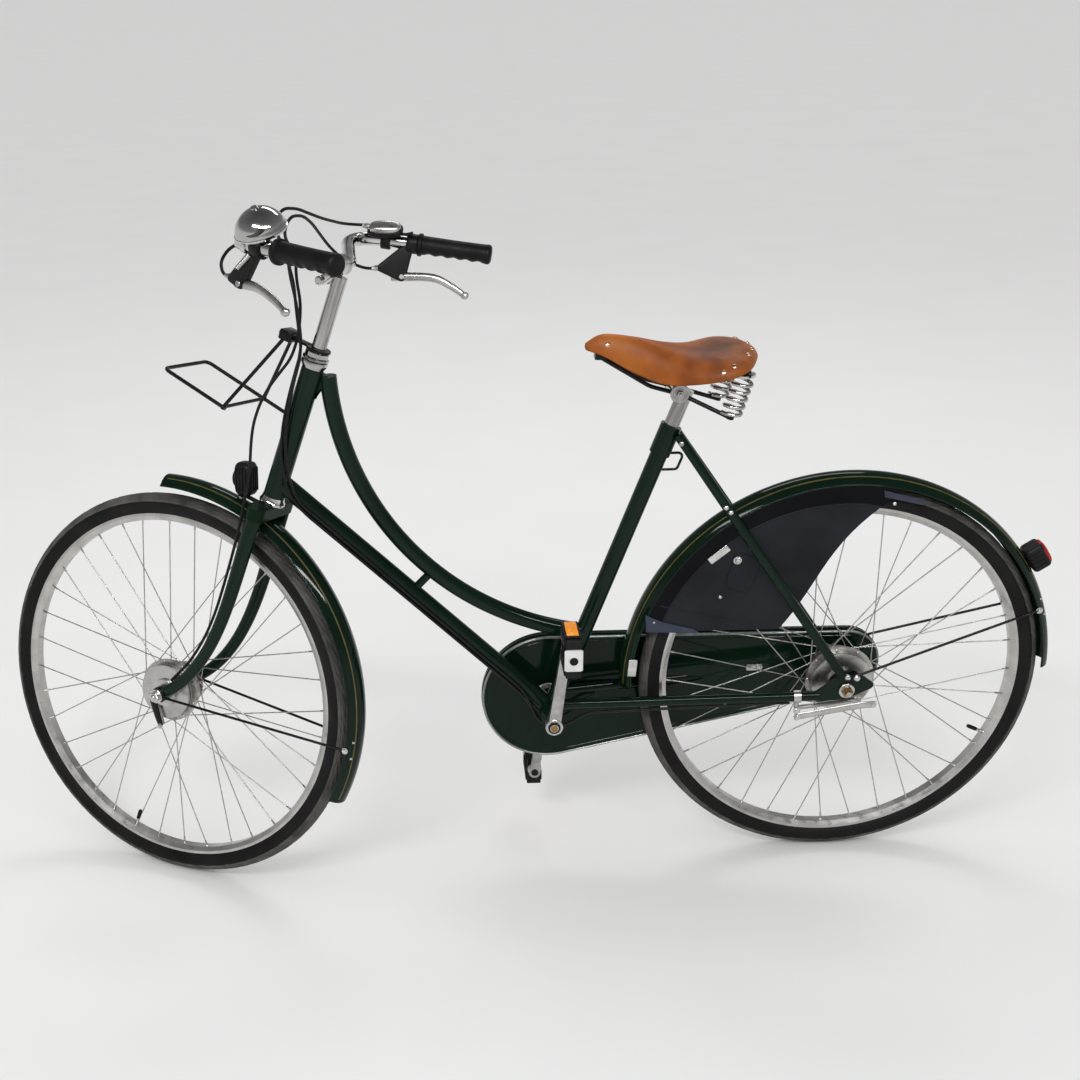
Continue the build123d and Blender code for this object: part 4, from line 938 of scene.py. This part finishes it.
def makeCarrier():
    bm = bmesh.new()
    frontLeft, frontRight = [carrierSpot(rack["front"], side) for side in (1, -1)]
    backLeft, backRight = [carrierSpot(rack["back"], side) for side in (1, -1)]
    tail = carrierSpot(rack["tail"], -1)
    route = [backLeft + (backLeft - frontLeft).normalized() * 5]
    route += roundCorner(backLeft, frontLeft, frontRight, rack["bend"])
    route += roundCorner(frontLeft, frontRight, tail, rack["bend"]) + [tail]
    addTube(bm, route, rack["wire"], 14)
    addTube(bm, (backLeft, backRight), rack["wire"] - 0.2, 14)
    rise, ahead = rack["blockAt"]
    middle = onAxis(rack["strap"] + rise, ahead)
    for back, side in ((backLeft, 1), (backRight, -1)):
        head = middle + sideways(side * rack["uprightY"])
        addTube(bm, (back, head), rack["wire"] - 0.2, 14)
        addPebble(bm, (9, 9, 9), at(back), 1.0, 20)
    turn = Matrix((axisAhead, sideways(1), axisUp)).transposed().to_4x4()
    deep, wide, high = rack["block"]
    addBlock(bm, (deep, wide, high), moved(middle) @ turn, 3, 4)
    for side in (1, -1):
        spot = middle + axisAhead * deep / 2 + sideways(side * rack["boltY"])
        addBolt(bm, spot, axisAhead, 3.4, 3, 1)
    strapLong = ahead - rack["strapStart"]
    strapMiddle = onAxis(rack["strap"] + 2, rack["strapStart"] + strapLong / 2)
    addBlock(bm, (strapLong, 18, 4), moved(strapMiddle) @ turn, 1, 2)
    addLathe(bm, rack["washer"], onAxis(rack["strap"]), axisUp, 48, 0, True)
    finishPiece(bm, "frontCarrierWires", ("blackEnamel", "zincBolt"), "steering",
                ("front_carrier",))


# Web of the lug where the loop tube meets the head tube: distance ahead of the axis, rise
lug = dict(thick=16, outline=((-15.5, 636), (-26, 634), (-26, 614), (-20, 597), (-16.5, 590),
                              (-15.5, 590)))


def makeHeadLug():
    bm = bmesh.new()
    base = Matrix((axisAhead, axisUp, sideways(-1))).transposed().to_4x4()
    base = moved(onAxis(0, 0, lug["thick"] / 2)) @ base
    addPlate(bm, lug["outline"], base, lug["thick"], 4, 4)
    finishPiece(bm, "headLugWeb", ("greenPaint",), "frame")


makeGrips()
makeLevers()
makeBell()
makeShifter()
makeHeadset()
makeCarrier()
makeHeadLug()
print("handlebar made")


# Lenses and reflectors: ribbed coloured plastic under a clear coat
lensRows = (("redLens", (0.30, 0.006, 0.006), (0.46, 0.014, 0.012)),
            ("amberLens", (0.86, 0.24, 0.001), (1.0, 0.52, 0.003)),
            ("clearLens", (0.48, 0.50, 0.52), (0.72, 0.74, 0.76)))


def makeLenses():
    for name, dark, light in lensRows:
        coating = {"Coat Weight": 0.12, "Coat Roughness": 0.05, "Specular IOR Level": 0.25}
        tree, shader = newFinish(name, coating)
        cells = texture(tree, "Voronoi", 420)
        tree.links.new(ramp(tree, cells, ((0.05, light), (0.6, dark))), shader.inputs["Base Color"])
        gloss(tree, shader, texture(tree, "Noise", 60, Detail=3.0), 0.12, 0.24)
        relief(tree, shader, cells, 0.5, 0.0006)


lamps = dict(rise=417, ahead=58, shell=(32, 36, 57), ribs=(-9, -3, 3, 9), armRise=388.5, rearRadius=391,
             rearAngle=147, rearPlace=Vector((8, 0, 347)), lens=(15, 33, 43), fins=(-12, -4, 4, 12),
             finSize=(24, 38, 1.6),
             bezel=((0, -3), (14.6, -3), (15.4, -1), (15.4, 1.4), (14.4, 2.2), (13.2, 2), (13, 0.4)))


def makeLampTrim():
    bm = bmesh.new()
    armRise, ahead = lamps["armRise"], lamps["ahead"]
    front = onAxis(lamps["rise"], ahead)
    deep, wide, high = lamps["shell"]
    addPebble(bm, lamps["shell"], moved(front), 0.5, 48, 0)
    face = front + Vector((deep / 2, 0, 0))
    addLathe(bm, lamps["bezel"], face, (1, 0, 0), 44, 0)
    turns = [pi / 2 * step / 8 for step in range(9)]
    glass = [(13 * cos(turn), 0.4 + 3 * sin(turn)) for turn in turns]
    addLathe(bm, [(0, -1)] + glass, face, (1, 0, 0), 44, 1)
    for side in (1, -1):
        for x in lamps["ribs"]:
            rib = front + Vector((x, side * wide / 2, 0))
            addBlock(bm, (1.8, 3, high - 18), moved(rib), 0.6, 2)
    for y in lamps["ribs"]:
        addBlock(bm, (3, 1.8, high - 18), moved(front + Vector((-deep / 2, y, 0))), 0.6, 2)
    addTube(bm, (onAxis(armRise, 17), onAxis(armRise, ahead)), 3.6, 16, 0)
    addTube(bm, (onAxis(armRise - 4, ahead), front), 5, 16, 0)
    addBolt(bm, onAxis(armRise - 4, ahead), -axisUp, 4, 4, 2)
    finishPiece(bm, "frontLampShell", ("blackPlastic", "clearLens", "zincBolt"), "steering",
                ("front_lamp",))
    bm = bmesh.new()
    turn = radians(lamps["rearAngle"])
    out = wheelward(turn)
    place = lamps["rearPlace"] + out * lamps["rearRadius"]
    base = moved(place) @ Matrix.Rotation(-turn, 4, "Y")
    addPebble(bm, lamps["lens"], base @ moved((13, 0, 0)), 0.6, 40, 0)
    for z in lamps["fins"]:
        addBlock(bm, lamps["finSize"], base @ moved((-3, 0, z)), 0.5, 2, 1)
    finishPiece(bm, "rearLampLens", ("redLens", "blackPlastic"), "frame")


# Cranks and pedals
crank = dict(bracket=Vector((503, 0, 297)), outer=75.0, offset=(22.45, 170.53), pedal=121.5, pedalHalf=38.5,
             blockRise=22, blockFace=13.5, pedalEnd=33,
             ring=((0, -1), (15.6, -1), (15.6, 0.8), (14.8, 1.4), (11, 1.4), (10.6, 3.6), (9.6, 4.4),
                   (8, 4.4), (0, 4.4)),
             cap=((0, 1), (10.6, 1), (10.6, 3.8), (9.8, 4.8), (7.4, 4.8), (7.2, 3.6), (0, 3.6)),
             endCap=((0, -1), (9.6, -1), (9.6, 0.8), (8.8, 1.5), (7.6, 1.2), (7.2, 0.4), (0, 0.4)),
             endDisc=((0, 0.2), (7, 0.2), (7, 0.7), (5.6, 0.7), (5.2, 0.5), (0, 0.5)),
             endPlate=((-15, -17), (-11, -19), (11, -19), (15, -17), (15, 17), (11, 19), (-11, 19),
                       (-15, 17)),
             ribRows=(-7, -2.4, 2.4, 7), rib=(3.4, 66, 2.6), stud=(1.8, 2.2, 19), studPitch=7.4,
             holder=(26, 62, 5), reflector=(20, 54, 3))


def makeCranks():
    bm = bmesh.new()
    for side in (1, -1):
        face = crank["bracket"] + sideways(side * crank["outer"])
        addLathe(bm, crank["ring"], face, (0, side, 0), 8, 0)
        addLathe(bm, crank["cap"], face, (0, side, 0), 36, 1)
        addDome(bm, face + sideways(side * 3.6), (0, side, 0), 6.9, 1.8, 2, 28)
        x, z = crank["offset"]
        eye = crank["bracket"] + Vector((-side * x, side * crank["outer"], side * z))
        addLathe(bm, puck(8.6, 0, 6, 0.8, 0.8), eye, (0, side, 0), 6, 1)
        addLathe(bm, puck(12.4, -1, 1.3, 0.6, 0.6), eye, (0, side, 0), 36, 0)
        back = eye - sideways(side * 12)
        addLathe(bm, puck(6.6, 0, 1.8, 0.6, 0.6), back, (0, -side, 0), 28, 1)
    finishPiece(bm, "crankCaps", ("satinAlloy", "blackPlastic", "bronzeCap"), "cranks")


def makePedal(name, side):
    bm = bmesh.new()
    x, z = crank["offset"]
    centre = crank["bracket"] + Vector((-side * x, side * crank["pedal"], side * z))
    half = crank["pedalHalf"]
    for upper in (1, -1):
        rise = upper * crank["blockRise"]
        for face in (1, -1):
            for row in crank["ribRows"]:
                base = moved(centre + Vector((face * crank["blockFace"], 0, rise + row)))
                addBlock(bm, crank["rib"], base, 0.7, 2, 0)
            for column in range(-4, 5):
                spot = Vector((face * (crank["blockFace"] + 0.4), column * crank["studPitch"], rise))
                addBlock(bm, crank["stud"], moved(centre + spot), 0.5, 2, 0)
        end = moved(centre + Vector((0, -side * 6, upper * (crank["pedalEnd"] + 0.6))))
        addBlock(bm, crank["holder"], end, 1.6, 3, 0)
        addBlock(bm, crank["reflector"], moved((0, 0, upper * 2.2)) @ end, 0.9, 2, 1)
    face = at(centre + Vector((0, side * (half - 2), 0)), (0, side, 0))
    addPlate(bm, crank["endPlate"], face, 6.4, 1.4, 3, 2)
    outer = centre + Vector((0, side * (half + 4.2), 0))
    addLathe(bm, crank["endCap"], outer, (0, side, 0), 36, 2)
    addLathe(bm, crank["endDisc"], outer, (0, side, 0), 28, 0)
    finishPiece(bm, name + "PedalTrim", ("gripRubber", "amberLens", "pedalWhite"), name + "_pedal",
                (), 40)


# Chain case: beaded rims where the shells meet, the near bead pale as a painted highlight, a seam, screws
# and the bracket on the stay
chainCase = dict(front=(503, 299, 119), rear=(-24, 352, 60), faces=(-36.4, -57.6), bead=2.1,
                 seam=((525, 256), (532, 243), (541, 226), (549, 206)),
                 screws=((503, 196), (360, 232), (150, 258), (330, 410), (-24, 300)), seamWire=1.3,
                 plate=((-13, -6), (13, -6), (15, 0), (13, 6), (-13, 6), (-15, 0)),
                 plateAt=(137, 346), boltX=130)


def makeChainCase():
    bm = bmesh.new()
    near, far = chainCase["faces"]
    bead = chainCase["bead"]
    # the near outer bead (finish 2) is painted pale as a highlight; the other beads stay green
    for y, inset, thick, mat in ((near, 1.2, bead, 2), (far, 1.2, bead, 0), (near, 9, 0.9, 0)):
        discs = [(x, z, radius - inset) for x, z, radius in (chainCase["front"], chainCase["rear"])]
        rim = [Vector((x, y, z)) for x, z in discHull(discs, 96)]
        addTube(bm, rim + rim[:2], thick, 10, mat)
    seam = [Vector((x, near, z)) for x, z in chainCase["seam"]]
    addTube(bm, smoothLine(seam, 5), chainCase["seamWire"], 8, 0)
    for x, z in chainCase["screws"]:
        addDome(bm, (x, far - 0.2, z), (0, -1, 0), 5, 2.2, 1, 24)
    x, z = chainCase["plateAt"]
    addPlate(bm, chainCase["plate"], at((x, near - 0.5, z), (0, 1, 0)), 2.2, 0.5, 2, 1)
    addBolt(bm, (chainCase["boltX"], near + 1.6, z), (0, 1, 0), 4, 4, 1)
    finishPiece(bm, "chainCaseTrim", ("greenPaint", "zincBolt", "caseEdgeHighlight"), "frame")


# Coat guards: pressed sheet panels clipped to the rear mudguard's edge, their top rows near-black as painted
# shade under that edge
coat = dict(place=Vector((8, 0, 347)), edge=358.7, arc=(17, 104), corner=(115, 450), y=25.3, thick=1.6,
            swell=2.2, across=44, down=16, boss=((186, 566), (180, 548), 24), clip=(226, 592, 40, 13),
            clipTurn=39, bolt=(194.5, 581), shadeBandRows=2, bow=0.08, beadWire=1.5, foldWire=1.2,
            rivets=((219, 513), (330, 470), (-60, 672)),
            flaps=(((345, 484), (343, 452), (250, 447), (262, 455), (316, 470)),
                   ((-40, 696), (-42, 684), (-108, 668), (-112, 676))))


def coatSpot(along, drop, side, lift):
    along -= coat["bow"] * sin(pi * drop) * along ** 3
    turn = radians(coat["arc"][0] + (coat["arc"][1] - coat["arc"][0]) * along)
    rim = coat["place"] + wheelward(turn) * coat["edge"]
    corner = Vector((coat["corner"][0], 0, coat["corner"][1]))
    spot = rim.lerp(corner, drop)
    swell = coat["swell"] * sin(pi * along) * sin(pi * min(drop, 1) ** 0.8)
    return Vector((spot.x, side * (coat["y"] + swell + lift), spot.z))


def makeCoatGuards():
    bm = bmesh.new()
    for side in (1, -1):
        layers = []
        for lift in (0, coat["thick"]):
            rows = []
            for row in range(coat["down"]):
                drop = row / coat["down"]
                rows.append([bm.verts.new(coatSpot(step / coat["across"], drop, side, lift))
                             for step in range(coat["across"] + 1)])
            tip = [bm.verts.new(coatSpot(0.5, 1.0, side, lift))]
            for row, (low, high) in enumerate(zip(rows, rows[1:])):
                # the top rows take the near-black finish: painted shade in the gap under the mudguard's edge
                stitch(bm, low, high, 3 if row < coat["shadeBandRows"] else 0, False)
            stitch(bm, rows[-1], tip, 0, False)
            border = [row[-1] for row in rows[1:]] + tip + [row[0] for row in reversed(rows[1:])]
            layers.append(rows[0] + border)
        stitch(bm, layers[0], layers[1])
        face = coat["y"] + coat["thick"]
        shadeBandDrop = coat["shadeBandRows"] / coat["down"]
        proud = coat["thick"] - 0.2
        bead = [coatSpot(0.04 + 0.92 * step / 40, shadeBandDrop, side, proud) for step in range(41)]
        addTube(bm, bead, coat["beadWire"], 10, 0)
        fold = [coatSpot(0.1, 0.05 + 0.6 * step / 12, side, proud) for step in range(13)]
        addTube(bm, fold, coat["foldWire"], 10, 0)
        (ax, az), (bx, bz), radius = coat["boss"]
        lean = atan2(bx - ax, az - bz)
        length = hypot(bx - ax, bz - az) + 2 * radius
        middle = Vector(((ax + bx) / 2, side * (face + 1.6), (az + bz) / 2))
        base = moved(middle) @ Matrix.Rotation(lean, 4, "Y")
        addPebble(bm, (2 * radius, 7, length), base, 0.55, 44, 0)
        clipX, clipZ, clipLong, clipWide = coat["clip"]
        base = moved((clipX, side * (face + 3), clipZ))
        base = base @ Matrix.Rotation(radians(coat["clipTurn"]), 4, "Y")
        addBlock(bm, (clipLong, 3, clipWide), base, 1.2, 3, 2)
        boltX, boltZ = coat["bolt"]
        addBolt(bm, (boltX, side * (face + 4.2), boltZ), (0, side, 0), 5.2, 5, 2)
        for x, z in coat["rivets"]:
            addDome(bm, (x, side * (face + 0.6), z), (0, side, 0), 3.4, 2.2, 2, 20)
        for outline in coat["flaps"]:
            flapBase = moved((0, side * (face + 0.8), 0)) @ Matrix.Rotation(pi / 2, 4, "X")
            addPlate(bm, outline, flapBase, 1.6 * -side, 0.4, 2, 1)
    finishPiece(bm, "coatGuardPanels", ("coatVinyl", "flapVinyl", "zincBolt", "coatPaintedShadeBand"), "frame",
                ("coat_guards",), 40)


# Axle nuts, the rear brake's reaction arm, the front brake's lever and the bolts beside them
rearEnd = dict(nut=(0, 70, 348), plateBolts=((0.5, 70, 374), (-13, 76, 375)), clipBolt=(82, 63, 309),
               arm=((84, 64, 297), (37, 62, 304), (-26, 58, 312), (-58, 54, 312)),
               guardBolts=((223.5, 52, 683), (215.3, 52, 674.5)), guardPlate=(364, 26.6, 383),
               plateSize=(15, 2.4, 32), plateTurn=-4, armWide=6.5, armFlat=0.35)


def makeRearEnds():
    bm = bmesh.new()
    for side in (1, -1):
        x, y, z = rearEnd["nut"]
        addLathe(bm, puck(13.4, -1, 1.3, 0.8, 0.7), (x, side * y, z), (0, side, 0), 36, 0)
        addLathe(bm, puck(9.8, 1, 9, 1.2, 1.4), (x, side * y, z), (0, side, 0), 6, 1)
        addDome(bm, (x, side * (y + 8.6), z), (0, side, 0), 6.4, 6, 1, 28)
        for boltX, boltY, boltZ in rearEnd["plateBolts"]:
            addDome(bm, (boltX, side * boltY, boltZ), (0, side, 0), 5.8, 4.2, 0, 28)
        for boltX, boltY, boltZ in rearEnd["guardBolts"]:
            addDome(bm, (boltX, side * boltY, boltZ), (0, side, 0.2), 4.4, 3, 0, 24)
    addBolt(bm, rearEnd["clipBolt"], (0, 1, 0), 4.6, 5, 0)
    x, y, z = rearEnd["guardPlate"]
    for side in (1, -1):
        base = moved((x, side * y, z)) @ Matrix.Rotation(radians(rearEnd["plateTurn"]), 4, "Y")
        addBlock(bm, rearEnd["plateSize"], base, 0.9, 3, 0)
    arm = smoothLine([Vector(spot) for spot in rearEnd["arm"]], 8)
    addTube(bm, arm, rearEnd["armWide"], 16, 2, rearEnd["armFlat"], (0, 1, 0))
    addBolt(bm, arm[0] + Vector((-3, 1, 0)), (0, 1, 0), 4.4, 4, 0)
    addBolt(bm, arm[-1] + Vector((5, 1, 0)), (0, 1, 0), 4.4, 4, 0)
    finishPiece(bm, "rearEndBolts", ("zincBolt", "bronzeCap", "satinAlloy"), "frame")


drum = dict(nutY=64, leverPath=((1197, 41, 340), (1193, 42, 322), (1186, 43, 300), (1181, 43, 286)))


def makeFrontEnds():
    bm = bmesh.new()
    path = smoothLine(drum["leverPath"], 6)
    addTube(bm, path, [8.5 - 0.18 * step for step in range(len(path))], 16, 1, 0.4, (0, 1, 0))
    addBolt(bm, path[0] + sideways(2), (0, 1, 0), 5.4, 5, 0)
    addBolt(bm, path[-1] + sideways(2), (0, 1, 0), 3.8, 5, 0)
    for side in (1, -1):
        place = frontHub + sideways(side * drum["nutY"])
        addLathe(bm, puck(12.4, -1, 1.2, 0.8, 0.6), place, (0, side, 0), 36, 0)
        addLathe(bm, puck(9.2, 1, 8, 1.2, 1.2), place, (0, side, 0), 6, 0)
        addDome(bm, place + sideways(side * 7.8), (0, side, 0), 5, 4, 0, 24)
    finishPiece(bm, "frontEndBolts", ("zincBolt", "blackEnamel"), "steering")


makeLenses()
makeLampTrim()
makeCranks()
makePedal("left", 1)
makePedal("right", -1)
makeChainCase()
makeCoatGuards()
makeRearEnds()
makeFrontEnds()
print("frame trim made")


def dress(finish, *names):
    for name in names:
        for place in frame["nodes"][name].material_slots:
            place.material = finishes[finish]


dress("greenPaint", "head_tube", "bottom_bracket", "seat_tube", "down_tube", "loop_tube", "tube_bridge",
      "seat_lug", "chain_stays", "seat_stays", "dropouts", "chain_case", "fork_blades", "fork_ends",
      "front_mudguard", "rear_mudguard")
dress("crownPaint", "fork_crown")
dress("chromePlate", "handlebar", "saddle_clamp")
dress("chromeTubePaintedReflections", "stem", "seat_post")
dress("satinAlloy", "front_rim", "rear_rim", "front_brake_plate", "rear_brake_plate")
dress("castAlloy", "front_hub", "rear_hub", "crank_left", "crank_right", "crank_spindle")
dress("spokeSteel", "front_spokes", "rear_spokes", "front_axle", "rear_axle")
dress("gripRubber", "pedal_rubbers_left", "pedal_rubbers_right")
dress("blackEnamel", "saddle_rails", "front_mudguard_stays", "rear_mudguard_stays")
dress("blackPlastic", "pedal_left", "pedal_right", "rear_lamp", "steering_cables")
print("frame dressed")


# Cable casings below the bar, cut into bands along the head tube
cables = dict(top=640, bottom=500, cutStep=7)


def makeFrameCables():
    bm = bmesh.new()
    bm.from_mesh(frame["nodes"]["frame_cables"].data)
    for rise in range(cables["bottom"], cables["top"], cables["cutStep"]):
        geometry = bm.verts[:] + bm.edges[:] + bm.faces[:]
        bmesh.ops.bisect_plane(bm, geom=geometry, plane_co=toPart @ onAxis(rise), plane_no=axisUp)
    mesh = bpy.data.meshes.new("frameCableCasings")
    bm.to_mesh(mesh)
    bm.free()
    mesh.materials.clear()
    mesh.materials.append(finishes["blackPlastic"])
    mesh.shade_smooth()
    mesh.set_sharp_from_angle(angle=radians(40))
    casings = bpy.data.objects.new("frameCableCasings", mesh)
    bpy.context.scene.collection.objects.link(casings)
    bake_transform(casings)
    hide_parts("frame_cables")


makeFrameCables()


def makeFloor():
    floorZ = cadBounds[0][2]
    half = studio["floorSize"] / 2
    mesh = bpy.data.meshes.new("studioFloor")
    corners = [(-half, -half, floorZ), (half, -half, floorZ), (half, half, floorZ), (-half, half, floorZ)]
    mesh.from_pydata(corners, [], [(0, 1, 2, 3)])
    tree, shader = newFinish("paleFloor", {"Roughness": 0.85})
    shade = texture(tree, "Noise", 3.0, Detail=3.0)
    pale = studio["floorColour"]
    tree.links.new(ramp(tree, shade, ((0.3, tuple(value * 0.98 for value in pale)), (0.7, pale))),
                   shader.inputs["Base Color"])
    mesh.materials.append(finishes["paleFloor"])
    floor = bpy.data.objects.new("studioFloor", mesh)
    bpy.context.scene.collection.objects.link(floor)


makeFloor()
